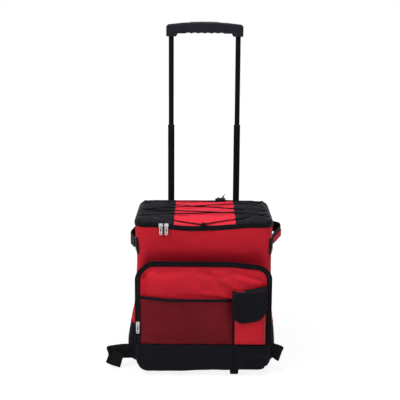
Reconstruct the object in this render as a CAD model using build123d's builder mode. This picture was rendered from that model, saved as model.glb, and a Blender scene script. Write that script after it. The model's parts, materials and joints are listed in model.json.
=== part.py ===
from build123d import *
from math import cos, pi, radians, sin
import os

# Soft cooler bag on a two-wheeled trolley with a telescopic pull handle.
# Millimetres: X to the viewer's right, Y to the back, Z up, floor at Z = 0.
# The origin is on the floor, under the middle of the insulated body.

os.makedirs("parts", exist_ok=True)


def write(piece, name):
    """Label a finished piece and write it as its own file."""
    piece.part.label = name
    export_step(piece.part, "parts/" + name + ".step")


# Clearances
seam_gap = 0.3
sewn_gap = 0.1
swing_gap = 0.6
slide_clear = 0.2
pin_clear = 0.1
fit_clear = 0.05
screw_clear = 0.2

# Insulated body
body_width = 352.0
body_depth = 250.0
body_corner = 28.0
fabric = 1.5
foam_wall = 8.0
liner_wall = 1.0
foot_height = 14.0
board_thick = 4.0
skirt_top = 122.0
lid_top = 399.0
lid_thick = 12.0
bottom_round = 8.0

# Front pocket
pocket_inset = 4.0
pocket_width = body_width - 2 * pocket_inset
pocket_depth = 50.0
pocket_drop = 96.0
pocket_top = lid_top - pocket_drop
pocket_arch_radius = 38.0
band_top = 85.0
pocket_plan_corner = 6.0
pocket_bottom_round = 5.0
gusset_setback = 5.0
panel_thick = 4.0

# Zips
tape_thick = 1.2
tape_width = 6.0
bead_width = 1.8
bead_height = 1.4

# Trolley
tube_spacing = 183.0
tube_setback = 28.0
tube_wall = 0.8
lower_diameter = 22.0
middle_diameter = 18.0
upper_diameter = 14.0
upper_exposed = 247.0
upper_overlap = 52.0
middle_overlap = 60.0
bracket_drop = 27.0
bracket_top = lid_top - bracket_drop
bracket_height = 22.0
socket_wall = 3.0
flange_thick = 3.0
grip_width = 210.0
grip_depth = 25.0
grip_top = 890.0
grip_bar_height = 31.0
grip_socket_drop = 8.0
grip_shoulder_drop = 6.5
wheel_radius = 30.0
wheel_width = 22.0
wheel_track = 252.0

# Faces of the bag
front_y = -body_depth / 2
back_y = body_depth / 2
bag_bottom = foot_height + board_thick
lid_bottom = lid_top - lid_thick
rim_top = lid_bottom - swing_gap
pocket_front_y = front_y - pocket_depth
tube_y = back_y + tube_setback
tube_x = tube_spacing / 2
grip_bar_bottom = grip_top - grip_bar_height
grip_bottom = grip_bar_bottom - grip_socket_drop
stage_step_height = grip_bottom - upper_exposed

# One screw serves the feet, the brackets and the wheel housings
screw_radius = 2.0
screw_head_radius = 4.0
screw_head_height = 2.4
screw_length = 8.0


# Stiffening board under the whole bag
board_inset = 12.0
board_corner = 20.0
board_front = pocket_front_y + board_inset
board_back = back_y - board_inset
board_mid_y = (board_front + board_back) / 2
foot_x = 81.0
foot_width = 24.0
foot_depth = 24.0
foot_draft = 6.0
foot_corner = 6.0
foot_set = 3.0
foot_stagger = 28.0
foot_y = board_front + foot_depth / 2 + foot_set
foot_spots = [(-foot_x, foot_y + foot_stagger), (foot_x, foot_y)]
foot_screw_top = foot_height + board_thick / 2
foot_head_top = foot_screw_top - screw_length

with BuildPart() as base_board:
    with BuildSketch(Plane.XY.offset(foot_height)):
        with Locations((0, board_mid_y)):
            RectangleRounded(pocket_width - 2 * board_inset, board_back - board_front, board_corner)
    extrude(amount=board_thick)
    with BuildSketch(Plane.XY.offset(foot_height)):
        with Locations(*foot_spots):
            Circle(screw_radius + screw_clear)
    extrude(amount=board_thick / 2 + screw_clear, mode=Mode.SUBTRACT)
write(base_board, "base_board")

# Two moulded feet that taper to the floor, each with a recess for its screw
with BuildPart() as front_feet:
    with BuildSketch(Plane.XY.offset(foot_height)):
        with Locations(*foot_spots):
            RectangleRounded(foot_width, foot_depth, foot_corner)
    extrude(amount=-foot_height, taper=foot_draft)
    with BuildSketch(Plane.XY):
        with Locations(*foot_spots):
            Circle(screw_head_radius + screw_clear)
    extrude(amount=foot_head_top, mode=Mode.SUBTRACT)
    with BuildSketch(Plane.XY):
        with Locations(*foot_spots):
            Circle(screw_radius + screw_clear)
    extrude(amount=foot_height, mode=Mode.SUBTRACT)
write(front_feet, "front_feet")


# Screw places on the back of the bag: tube brackets, then wheel housings
housing_room = 5.0
housing_width = wheel_width + 2 * housing_room
housing_x = wheel_track / 2
housing_bottom = 24.0
housing_top = 96.0
housing_screw_x = 10.0
housing_screw_drop = 6.0
bracket_half = tube_x + lower_diameter / 2 + socket_wall
bottom_bracket_bottom = 30.0
flange_screw_inset = 24.0
flange_screw_step = 9.0
flange_margin = 8.0
flange_screw_x = tube_x - flange_screw_inset
top_screw_z = bracket_top - bracket_height - flange_screw_step
bottom_screw_z = bottom_bracket_bottom + bracket_height + flange_screw_step
housing_screw_z = housing_top - housing_screw_drop
back_screw_spots = [
    (side * x, z)
    for side in (-1, 1)
    for x, z in (
        (flange_screw_x, top_screw_z),
        (flange_screw_x, bottom_screw_z),
        (housing_x - housing_screw_x, housing_screw_z),
        (housing_x + housing_screw_x, housing_screw_z),
    )
]
flange_front_y = back_y + seam_gap
flange_back_y = flange_front_y + flange_thick

# Lower cover of the insulated body, in black fabric
with BuildPart() as base_skirt:
    with BuildSketch(Plane.XY.offset(bag_bottom)):
        RectangleRounded(body_width, body_depth, body_corner)
    extrude(amount=skirt_top - bag_bottom)
    fillet(base_skirt.faces().sort_by(Axis.Z)[0].edges(), bottom_round)
    offset(amount=-fabric, openings=base_skirt.faces().sort_by(Axis.Z)[-1])
    with BuildSketch(Plane.XZ.offset(-back_y)):
        with Locations(*[spot for spot in back_screw_spots if spot[1] < skirt_top]):
            Circle(screw_radius + screw_clear)
    extrude(amount=2 * fabric, mode=Mode.SUBTRACT)
write(base_skirt, "base_skirt")

# Upper cover of the insulated body, in red fabric
with BuildPart() as outer_cover:
    with BuildSketch(Plane.XY.offset(skirt_top)):
        RectangleRounded(body_width, body_depth, body_corner)
        RectangleRounded(
            body_width - 2 * fabric, body_depth - 2 * fabric, body_corner - fabric, mode=Mode.SUBTRACT
        )
    extrude(amount=rim_top - skirt_top)
    with BuildSketch(Plane.XZ.offset(-back_y)):
        with Locations(*[spot for spot in back_screw_spots if spot[1] > skirt_top]):
            Circle(screw_radius + screw_clear)
    extrude(amount=2 * fabric, mode=Mode.SUBTRACT)
write(outer_cover, "outer_cover")

# Rigid board inside the back, which every trolley bracket is screwed to
back_board_bottom = bag_bottom + bottom_round + fabric
back_board_top = rim_top - board_inset
back_board_width = body_width - 2 * body_corner
back_board_back = back_y - fabric - seam_gap
back_board_front = back_board_back - board_thick
back_board_mid_z = (back_board_bottom + back_board_top) / 2
screw_tip_y = flange_back_y - screw_length

with BuildPart() as back_board:
    with BuildSketch(Plane.XZ.offset(-back_board_back)):
        with Locations((0, back_board_mid_z)):
            RectangleRounded(back_board_width, back_board_top - back_board_bottom, board_corner / 2)
    extrude(amount=board_thick)
    with BuildSketch(Plane.XZ.offset(-back_board_back)):
        with Locations(*back_screw_spots):
            Circle(screw_radius + screw_clear)
    extrude(amount=back_board_back - screw_tip_y + screw_clear, mode=Mode.SUBTRACT)
write(back_board, "back_board")

# Foam tub, set in from the covers and the back board
foam_front = front_y + fabric + seam_gap
foam_back = back_board_front - seam_gap
foam_side = body_width / 2 - fabric - seam_gap
foam_bottom = bag_bottom + fabric + seam_gap
liner_flange_top = rim_top - seam_gap
foam_top = liner_flange_top - liner_wall - seam_gap
foam_mid_y = (foam_front + foam_back) / 2
foam_corner = body_corner - fabric - seam_gap
foam_edge_round = bottom_round

with BuildPart() as foam_insulation:
    with BuildSketch(Plane.XY.offset(foam_bottom)):
        with Locations((0, foam_mid_y)):
            RectangleRounded(2 * foam_side, foam_back - foam_front, foam_corner)
    extrude(amount=foam_top - foam_bottom)
    fillet(foam_insulation.faces().sort_by(Axis.Z)[0].edges(), foam_edge_round)
    with BuildSketch(Plane.XY.offset(foam_bottom + foam_wall)):
        with Locations((0, foam_mid_y)):
            RectangleRounded(
                2 * (foam_side - foam_wall), foam_back - foam_front - 2 * foam_wall, foam_corner - foam_wall
            )
    extrude(amount=foam_top, mode=Mode.SUBTRACT)
write(foam_insulation, "foam_insulation")

# Wipe-clean liner with a rim that covers the top of the foam
liner_set = foam_wall + seam_gap
liner_half_x = foam_side - liner_set
liner_length_y = foam_back - foam_front - 2 * liner_set
liner_bottom = foam_bottom + liner_set
liner_corner = foam_corner - liner_set
rim_overlap = 0.5

with BuildPart() as inner_liner:
    with BuildSketch(Plane.XY.offset(liner_bottom)):
        with Locations((0, foam_mid_y)):
            RectangleRounded(2 * liner_half_x, liner_length_y, liner_corner)
    extrude(amount=liner_flange_top - liner_bottom)
    with BuildSketch(Plane.XY.offset(liner_flange_top - liner_wall)):
        with Locations((0, foam_mid_y)):
            RectangleRounded(
                2 * (foam_side - rim_overlap), foam_back - foam_front - 2 * rim_overlap, foam_corner
            )
    extrude(amount=liner_wall)
    with BuildSketch(Plane.XY.offset(liner_bottom + liner_wall)):
        with Locations((0, foam_mid_y)):
            RectangleRounded(
                2 * (liner_half_x - liner_wall), liner_length_y - 2 * liner_wall, liner_corner - liner_wall
            )
    extrude(amount=rim_top, mode=Mode.SUBTRACT)
write(inner_liner, "inner_liner")


# Lid: a shallow fabric cap with a red strip let into its top
lid_edge_round = 4.0
strip_width = 160.0
strip_margin = 1.0
strip_length = body_depth - 2 * (lid_edge_round + strip_margin)

with BuildPart() as lid_cover:
    with BuildSketch(Plane.XY.offset(lid_bottom)):
        RectangleRounded(body_width, body_depth, body_corner)
    extrude(amount=lid_thick)
    fillet(lid_cover.faces().sort_by(Axis.Z)[-1].edges(), lid_edge_round)
    offset(amount=-fabric, openings=lid_cover.faces().sort_by(Axis.Z)[0])
    with BuildSketch(Plane.XY.offset(lid_top - fabric)):
        Rectangle(strip_width, strip_length)
    extrude(amount=fabric, mode=Mode.SUBTRACT)
write(lid_cover, "lid_cover")

with BuildPart() as lid_centre_strip:
    with BuildSketch(Plane.XY.offset(lid_top - fabric)):
        Rectangle(strip_width, strip_length)
    extrude(amount=fabric)
write(lid_centre_strip, "lid_centre_strip")

lid_inset = fabric + seam_gap
lid_foam_bottom = lid_bottom + liner_wall + seam_gap
lid_foam_thick = lid_top - fabric - seam_gap - lid_foam_bottom

with BuildPart() as lid_liner:
    with BuildSketch(Plane.XY.offset(lid_bottom)):
        RectangleRounded(body_width - 2 * lid_inset, body_depth - 2 * lid_inset, body_corner - lid_inset)
    extrude(amount=liner_wall)
write(lid_liner, "lid_liner")

with BuildPart() as lid_foam:
    with BuildSketch(Plane.XY.offset(lid_foam_bottom)):
        RectangleRounded(body_width - 2 * lid_inset, body_depth - 2 * lid_inset, body_corner - lid_inset)
    extrude(amount=lid_foam_thick)
    fillet(lid_foam.faces().sort_by(Axis.Z)[-1].edges(), lid_edge_round)
write(lid_foam, "lid_foam")

# Fabric hinge along the top of the back, with a round cord sewn into its fold
hinge_y = back_y + seam_gap / 2
hinge_z = lid_top
hinge_cord_radius = 1.2
hinge_strip_margin = 10.0
hinge_strip_width = body_width - 2 * (body_corner + hinge_strip_margin)
hinge_strip_drop = 23.0

with BuildPart() as lid_hinge_strip:
    with BuildSketch(Plane.XZ.offset(-flange_front_y)):
        with Locations((0, hinge_z - hinge_strip_drop / 2)):
            Rectangle(hinge_strip_width, hinge_strip_drop)
    extrude(amount=-tape_thick)
    with BuildSketch(Plane.YZ.offset(-hinge_strip_width / 2)):
        with Locations((hinge_y, hinge_z)):
            Circle(hinge_cord_radius)
    extrude(amount=hinge_strip_width)
write(lid_hinge_strip, "lid_hinge_strip")


# Lid zip: one tape with its bead on the rim, one on the lid, round three sides
zip_end_y = back_y - body_corner
lid_tape_width = 7.0


def rim_zip(tape_from, tape_to, bead_from, bead_to):
    """Half of the lid zip, between two heights for its tape and two for its bead."""
    rim_size = (body_width + 2 * fit_clear, body_depth + 2 * fit_clear)
    with BuildPart() as half:
        with BuildSketch(Plane.XY.offset(tape_from)):
            RectangleRounded(
                body_width + 2 * tape_thick, body_depth + 2 * tape_thick, body_corner + tape_thick
            )
            RectangleRounded(*rim_size, body_corner + fit_clear, mode=Mode.SUBTRACT)
        extrude(amount=tape_to - tape_from)
        reach = tape_thick + bead_height
        with BuildSketch(Plane.XY.offset(bead_from)):
            RectangleRounded(body_width + 2 * reach, body_depth + 2 * reach, body_corner + reach)
            RectangleRounded(*rim_size, body_corner + fit_clear, mode=Mode.SUBTRACT)
        extrude(amount=bead_to - bead_from)
        split(bisect_by=Plane.XZ.offset(-zip_end_y), keep=Keep.TOP)
    return half


lid_zip_lower = rim_zip(rim_top - lid_tape_width, rim_top, rim_top - bead_width, rim_top)
write(lid_zip_lower, "lid_zip_lower")

lid_zip_upper = rim_zip(lid_bottom, lid_bottom + lid_tape_width, lid_bottom, lid_bottom + bead_width)
write(lid_zip_upper, "lid_zip_upper")


# Zip sliders and their pull tabs
slider_plate = 1.6
slider_corner = 2.0
slider_clear = 0.5
lug_radius = 2.4
lug_hole = 1.4
lug_width = 2.0
tab_bar = 1.0
tab_width = 8.0
tab_length = 25.0
tab_thick = 1.4
tab_corner = 3.4
tab_window_room = 0.6
tab_window = lug_width + 2 * tab_window_room
tab_window_drop = 5.5
tab_hole = 1.8
flange_width = 1.2


def zip_slider(x, back, z, width, height, flange_x, flange_z):
    """Slider plate in front of a zip, with a side flange and a lug for its tab."""
    front = back - slider_plate
    lug_y = front - lug_radius
    flange_size = (flange_width, height - 2 * slider_corner)
    if flange_z:
        flange_size = (width - 2 * slider_corner, flange_width)
    with BuildPart() as slider:
        with BuildSketch(Plane.XZ.offset(-back)):
            with Locations((x, z)):
                RectangleRounded(width, height, slider_corner)
        extrude(amount=slider_plate)
        with BuildSketch(Plane.XZ.offset(-back)):
            with Locations((x + flange_x, z + flange_z)):
                Rectangle(*flange_size)
        extrude(amount=-bead_height)
        with BuildSketch(Plane.YZ.offset(x - lug_width / 2)):
            with Locations((lug_y, z)):
                Circle(lug_radius)
            with Locations(((lug_y + front) / 2, z)):
                Rectangle(lug_radius, 2 * lug_radius)
            with Locations((lug_y, z)):
                Circle(lug_hole, mode=Mode.SUBTRACT)
        extrude(amount=lug_width)
    return slider


def zip_tab(x, back, z):
    """Flat pull tab that hangs from a round bar through its slider's lug."""
    bar_y = back - slider_plate - lug_radius
    with BuildPart() as tab:
        with BuildSketch(Plane.XZ.offset(-bar_y - tab_thick / 2)):
            with Locations((x, z - tab_length / 2)):
                Rectangle(tab_width, tab_length)
        extrude(amount=tab_thick)
        fillet(tab.edges().filter_by(Axis.Y).group_by(Axis.Z)[0], tab_corner)
        with BuildSketch(Plane.YZ.offset(x - tab_width / 2)):
            with Locations((bar_y, z)):
                Circle(tab_bar)
        extrude(amount=tab_width)
        with BuildSketch(Plane.XZ.offset(-bar_y - tab_thick)):
            with Locations((x, z - (tab_window_drop + tab_bar) / 2)):
                Rectangle(tab_window, tab_window_drop - tab_bar)
            with Locations((x, z - tab_length + tab_width / 2)):
                Circle(tab_hole)
        extrude(amount=2 * tab_thick, mode=Mode.SUBTRACT)
    return tab


lid_slider_width = 11.0
lid_slider_height = 9.0
lid_slider_z = (rim_top + lid_bottom) / 2
lid_slider_back = front_y - tape_thick - bead_height - slider_clear
lid_slider_left_x = -109.0
lid_slider_right_x = -95.0
lid_flange_z = -(bead_width + seam_gap + flange_width)

for name, slider_x in (("left", lid_slider_left_x), ("right", lid_slider_right_x)):
    lid_slider = zip_slider(
        slider_x, lid_slider_back, lid_slider_z, lid_slider_width, lid_slider_height, 0, lid_flange_z
    )
    write(lid_slider, "lid_zip_slider_" + name)
    lid_tab = zip_tab(slider_x, lid_slider_back, lid_slider_z)
    write(lid_tab, "lid_zip_tab_" + name)


# Bungee lacing on the lid, in two layers so that no strand touches another
cord_radius = 1.5
strand_gap = 0.4
cord_step = 2 * cord_radius + strand_gap
cord_low = lid_top + cord_radius + strand_gap
cord_high = cord_low + cord_step
loop_inset = 16.0
loop_x = body_width / 2 - loop_inset
loop_half_turn = 5.0
fore_loop_station = 50.0
mid_loop_station = 108.0
back_loop_station = 210.0
loop_stations = (fore_loop_station, mid_loop_station, back_loop_station)
front_loop_station = 10.0
loop_turn_radius = 5.0
front_turn_radius = 10.0
loop_length = 6.4
loop_inner = 4.8
loop_strap = 1.2
loop_leg = 4.0
lock_x = 48.0
lock_width = 24.0
lock_depth = 14.0
lock_bore = 4.4
lock_half_height = 5.8
lock_z = lid_top + seam_gap + lock_half_height
lock_station = 230.0
lock_entry = 217.0
tail_end_station = 244.0
tail_rise = 3.0
tail_spread = 5.0
tail_straight = 1.5
tail_radius = 4.0
knot_radius = 3.0
knot_length = 5.0


def lid_point(x, station, z):
    """Point on the lid at a distance behind its front edge."""
    return (x, front_y + station, z)


def laced_half(side, z, lock_height):
    """Points of one half of the cord, from its tail through the lock to the front loop."""
    points = [
        lid_point(lock_x + side * tail_spread, tail_end_station, lock_height + tail_rise),
        lid_point(lock_x, lock_station + lock_depth / 2 + tail_straight, lock_height),
        lid_point(lock_x, lock_entry, lock_height),
    ]
    for turn, station in enumerate(reversed(loop_stations)):
        across = side * loop_x * (-1) ** turn
        points.append(lid_point(across, station + loop_half_turn, z))
        points.append(lid_point(across, station - loop_half_turn, z))
    points.append(lid_point(side * loop_half_turn, front_loop_station, z))
    return points


left_half = laced_half(-1, cord_low, lock_z - cord_step / 2)
right_half = laced_half(1, cord_high, lock_z + cord_step / 2)
cord_points = left_half + right_half[::-1]
half_radii = [tail_radius] + [loop_turn_radius] * 7 + [front_turn_radius]
cord_radii = half_radii + half_radii[::-1]

with BuildPart() as bungee_cord:
    with BuildLine():
        cord_route = FilletPolyline(*cord_points, radius=cord_radii)
    with BuildSketch(Plane(cord_route @ 0, z_dir=cord_route % 0)):
        Circle(cord_radius)
    sweep()
    tube_volume = bungee_cord.part.volume
    for tail, outward in ((cord_route @ 0, -(cord_route % 0)), (cord_route @ 1, cord_route % 1)):
        with BuildSketch(Plane(tail, z_dir=outward)):
            Circle(knot_radius)
        extrude(amount=knot_length)
write(bungee_cord, "bungee_cord")
section_volume = pi * cord_radius**2 * cord_route.length
print("bungee cord length", round(cord_route.length, 1))
print("bungee cord volume", round(tube_volume), "section times length", round(section_volume))

# Webbing loops that carry the cord: three a side and one at the front
loop_outer = loop_inner + loop_strap


def loop_profile():
    """Arched section of a webbing loop, standing on the lid, in the current sketch."""
    for half_width, mode in ((loop_outer, Mode.ADD), (loop_inner, Mode.SUBTRACT)):
        with Locations((0, loop_leg)):
            Circle(half_width, mode=mode)
        with Locations((0, loop_leg / 2)):
            Rectangle(2 * half_width, loop_leg, mode=mode)
        with Locations((0, -loop_outer)):
            Rectangle(2 * loop_outer, 2 * loop_outer, mode=Mode.SUBTRACT)


with BuildPart() as bungee_loops:
    for side in (-1, 1):
        for station in loop_stations:
            seat = lid_point(side * loop_x, station - loop_length / 2, lid_top)
            with BuildSketch(Plane(seat, x_dir=(-1, 0, 0), z_dir=(0, 1, 0))):
                loop_profile()
            extrude(amount=loop_length)
    front_seat = lid_point(-loop_length / 2, front_loop_station, lid_top)
    with BuildSketch(Plane(front_seat, x_dir=(0, 1, 0), z_dir=(1, 0, 0))):
        loop_profile()
    extrude(amount=loop_length)
write(bungee_loops, "bungee_loops")

# Spring-loaded cord lock: a body, a plunger across it and the spring behind the plunger
plunger_travel = 3.0
plunger_out = 4.0
plunger_round = 1.2
lock_corner = 4.0
spring_pressed = 2.5
cord_slot_width = 2 * (cord_radius + slide_clear)
cord_slot_height = cord_step + cord_slot_width
lock_left = lock_x - lock_width / 2
lock_right = lock_x + lock_width / 2
lock_back_wall = 2.0
plunger_end = lock_right - lock_back_wall - plunger_travel - spring_pressed
lock_front_y = front_y + lock_station - lock_depth / 2

with BuildPart() as cord_lock_body:
    with BuildSketch(Plane.YZ.offset(lock_left)):
        with Locations((front_y + lock_station, lock_z)):
            RectangleRounded(lock_depth, 2 * lock_half_height, lock_corner)
    extrude(amount=lock_width)
    with BuildSketch(Plane.YZ.offset(lock_left)):
        with Locations((front_y + lock_station, lock_z)):
            Circle(lock_bore + slide_clear)
    extrude(amount=lock_width - lock_back_wall, mode=Mode.SUBTRACT)
    with BuildSketch(Plane.XZ.offset(-lock_front_y)):
        with Locations((lock_x, lock_z)):
            SlotOverall(cord_slot_height, cord_slot_width, rotation=90)
    extrude(amount=-lock_depth, mode=Mode.SUBTRACT)
write(cord_lock_body, "cord_lock_body")

with BuildPart() as cord_lock_plunger:
    with BuildSketch(Plane.YZ.offset(lock_left - plunger_out)):
        with Locations((front_y + lock_station, lock_z)):
            Circle(lock_bore)
    extrude(amount=plunger_end - lock_left + plunger_out)
    fillet(cord_lock_plunger.faces().sort_by(Axis.X)[0].edges(), plunger_round)
    with BuildSketch(Plane.XZ.offset(-lock_front_y)):
        with Locations((lock_x - plunger_travel / 2, lock_z)):
            Rectangle(cord_slot_width + plunger_travel, cord_slot_height)
    extrude(amount=-lock_depth, mode=Mode.SUBTRACT)
write(cord_lock_plunger, "cord_lock_plunger")

lock_spring_wall = 0.8
lock_spring_outer = lock_bore - lock_spring_wall
lock_spring_inner = lock_spring_outer - lock_spring_wall
with BuildPart() as cord_lock_spring:
    with BuildSketch(Plane.YZ.offset(plunger_end)):
        with Locations((front_y + lock_station, lock_z)):
            Circle(lock_spring_outer)
            Circle(lock_spring_inner, mode=Mode.SUBTRACT)
    extrude(amount=lock_right - lock_back_wall - plunger_end)
write(cord_lock_spring, "cord_lock_spring")


# Front pocket: black lower tray
pocket_back_y = front_y - seam_gap
pocket_half = pocket_width / 2

with BuildPart() as pocket_base:
    with BuildSketch(Plane.XY.offset(bag_bottom)):
        with Locations((0, (pocket_front_y + pocket_back_y) / 2)):
            outline = Rectangle(pocket_width, pocket_back_y - pocket_front_y)
        fillet(outline.vertices().group_by(Axis.Y)[0], pocket_plan_corner)
    extrude(amount=band_top - bag_bottom)
    bottom_edges = pocket_base.faces().sort_by(Axis.Z)[0].edges()
    fillet(bottom_edges.sort_by(Axis.Y)[:-1], pocket_bottom_round)
    offset(amount=-fabric, openings=pocket_base.faces().sort_by(Axis.Z)[-1])
write(pocket_base, "pocket_base")

# Front pocket: everything above the tray follows one arch
arch_bottom = band_top + seam_gap
panel_bottom = band_top + 2 * seam_gap
gusset_front_y = pocket_front_y + gusset_setback
lip_depth = 2.6
tape_back_y = gusset_front_y - lip_depth
tape_front_y = tape_back_y - tape_thick
bead_front_y = tape_front_y - bead_height
zip_split = swing_gap
panel_tape_edge = tape_width + zip_split


def arch_band(bands, bottom):
    """Bands round the pocket's arch, each from one inset to another and one Y to another."""
    with BuildPart() as piece:
        for outer, inner, back, front in bands:
            with BuildSketch(Plane.XZ.offset(-back)):
                for inset, mode in ((outer, Mode.ADD), (inner, Mode.SUBTRACT)):
                    if inset is None:
                        continue
                    half = pocket_half - inset
                    top = pocket_top - inset
                    with BuildLine():
                        arch = FilletPolyline(
                            (-half, bottom), (-half, top), (half, top), (half, bottom),
                            radius=pocket_arch_radius - inset,
                        )
                        Line(arch @ 1, arch @ 0)
                    make_face(mode=mode)
            extrude(amount=back - front)
    return piece


pocket_gusset = arch_band(
    [(0, fabric, pocket_back_y, gusset_front_y), (0, 2 * fabric, gusset_front_y, tape_back_y)], arch_bottom
)
write(pocket_gusset, "pocket_gusset")

pocket_zip_fixed = arch_band(
    [
        (0, tape_width, tape_back_y, tape_front_y),
        (tape_width - bead_width, tape_width, tape_front_y, bead_front_y),
    ],
    arch_bottom,
)
write(pocket_zip_fixed, "pocket_zip_fixed")

pocket_zip_panel = arch_band(
    [
        (panel_tape_edge, panel_tape_edge + tape_width, tape_back_y, tape_front_y),
        (panel_tape_edge, panel_tape_edge + bead_width, tape_front_y, bead_front_y),
    ],
    panel_bottom,
)
write(pocket_zip_panel, "pocket_zip_panel")

panel_edge = panel_tape_edge + bead_width
panel_front_y = tape_back_y
front_panel = arch_band([(panel_edge, None, panel_front_y + panel_thick, panel_front_y)], panel_bottom)
write(front_panel, "front_panel")

# Pocket zip slider on the left leg, with its tab
pocket_slider_x = -(pocket_half - tape_width - zip_split / 2)
pocket_slider_z = 141.0
pocket_slider_back = bead_front_y - seam_gap
pocket_flange_x = zip_split / 2 + bead_width + seam_gap + flange_width / 2
pocket_slider = zip_slider(
    pocket_slider_x, pocket_slider_back, pocket_slider_z,
    lid_slider_height, lid_slider_width, pocket_flange_x, 0,
)
write(pocket_slider, "pocket_zip_slider")
pocket_tab = zip_tab(pocket_slider_x, pocket_slider_back, pocket_slider_z)
write(pocket_tab, "pocket_zip_tab")


# Mesh pocket with a bound top edge
mesh_margin = 14.0
phone_margin = 15.0
phone_width = 82.0
pockets_gap = 3.0
phone_right = pocket_half - phone_margin
phone_left = phone_right - phone_width
mesh_left = mesh_margin - pocket_half
mesh_right = phone_left - pockets_gap
mesh_top = 208.0
mesh_slack = 9.0
mesh_sheet = 1.0
binding_height = 8.0
patch_margin = 1.0
patch_bottom = panel_bottom + patch_margin
patch_back_y = panel_front_y


def patch_pocket(left, right, top, depth, wall):
    """Front, sides and floor of a pocket sewn on the panel, open at its top."""
    mid_x = (left + right) / 2
    mid_z = (patch_bottom + top) / 2
    with BuildPart() as pocket:
        with BuildSketch(Plane.XZ.offset(-patch_back_y)):
            with Locations((mid_x, mid_z)):
                Rectangle(right - left, top - patch_bottom)
        extrude(amount=depth)
        fillet(pocket.faces().sort_by(Axis.Y)[0].edges().filter_by(Axis.Z), 2 * wall)
        with BuildSketch(Plane.XZ.offset(-patch_back_y)):
            with Locations((mid_x, mid_z + wall)):
                Rectangle(right - left - 2 * wall, top - patch_bottom)
        extrude(amount=depth - wall, mode=Mode.SUBTRACT)
    return pocket


mesh_cloth = patch_pocket(mesh_left, mesh_right, mesh_top, mesh_slack, mesh_sheet)
mesh_front_y = patch_back_y - mesh_slack
with BuildPart() as mesh_pocket:
    add(mesh_cloth.part)
    with BuildSketch(Plane.XZ.offset(-(mesh_front_y - sewn_gap))):
        with Locations(((mesh_left + mesh_right) / 2, mesh_top - binding_height / 2)):
            Rectangle(mesh_right - mesh_left - 4 * mesh_sheet, binding_height)
    extrude(amount=tape_thick)
write(mesh_pocket, "mesh_pocket")

# Phone pocket with a hook-and-loop flap
phone_top = 232.0
phone_depth = 20.0
flap_bottom = 153.0
flap_thick = 2.0
flap_over = 2.0
flap_corner = 14.0
flap_fold = 1.5
fastener_width = 44.0
fastener_height = 20.0
fastener_thick = 1.0
fastener_corner = 3.0
fastener_margin = 8.0
phone_mid_x = (phone_left + phone_right) / 2
phone_front_y = patch_back_y - phone_depth
fastener_z = flap_bottom + fastener_margin + fastener_height / 2

phone_cloth = patch_pocket(phone_left, phone_right, phone_top, phone_depth, fabric)
with BuildPart() as phone_pocket:
    add(phone_cloth.part)
    with BuildSketch(Plane.XZ.offset(-(phone_front_y - sewn_gap))):
        with Locations((phone_mid_x, fastener_z)):
            RectangleRounded(fastener_width, fastener_height, fastener_corner)
    extrude(amount=fastener_thick)
write(phone_pocket, "phone_pocket")

flap_back_y = patch_back_y - seam_gap
flap_inner_y = phone_front_y - 2 * (fastener_thick + sewn_gap) - seam_gap
flap_underside = phone_top + 2 * seam_gap
flap_top = flap_underside + flap_thick
flap_width = phone_width + 2 * flap_over

with BuildPart() as phone_flap:
    with BuildSketch(Plane.XZ.offset(-flap_inner_y)):
        with Locations((phone_mid_x, (flap_bottom + flap_top) / 2)):
            flap_face = Rectangle(flap_width, flap_top - flap_bottom)
        fillet(flap_face.vertices().group_by(Axis.Y)[0], flap_corner)
    extrude(amount=flap_thick)
    with BuildSketch(Plane.XY.offset(flap_underside)):
        with Locations((phone_mid_x, (flap_back_y + flap_inner_y) / 2)):
            Rectangle(flap_width, flap_back_y - flap_inner_y)
    extrude(amount=flap_thick)
    fillet(phone_flap.edges().filter_by(Axis.X).group_by(Axis.Z)[-1].sort_by(Axis.Y)[0], flap_fold)
    with BuildSketch(Plane.XZ.offset(-(flap_inner_y + sewn_gap))):
        with Locations((phone_mid_x, fastener_z)):
            RectangleRounded(fastener_width, fastener_height, fastener_corner)
    extrude(amount=-fastener_thick)
write(phone_flap, "phone_flap")


# Side handles: bowed webbing with a sleeve on its outer face, sewn down at both ends
handle_drop = 62.0
handle_z = lid_top - handle_drop
handle_height = 25.0
handle_reach = 27.0
handle_half_span = 80.0
handle_crest_half = 45.0
handle_bend = 30.0
webbing_thick = 2.0
sleeve_half_span = 62.0
handle_tilts = {"left": -20.0, "right": 20.0}
stitch_tab_length = 25.0
stitch_tab_thick = 3.0
stitch_tab_corner = 2.0
stitch_overlap = 6.0
handle_axis_x = body_width / 2 + seam_gap + stitch_tab_thick + seam_gap

with BuildPart() as handle_tabs:
    for side in (-1, 1):
        with BuildSketch(Plane.YZ.offset(side * (body_width / 2 + seam_gap))):
            for end in (-1, 1):
                tab_y = handle_half_span + stitch_tab_length / 2 - stitch_overlap
                with Locations((end * tab_y, handle_z)):
                    RectangleRounded(stitch_tab_length, handle_height, stitch_tab_corner)
        extrude(amount=side * stitch_tab_thick)
write(handle_tabs, "handle_tabs")


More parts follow.
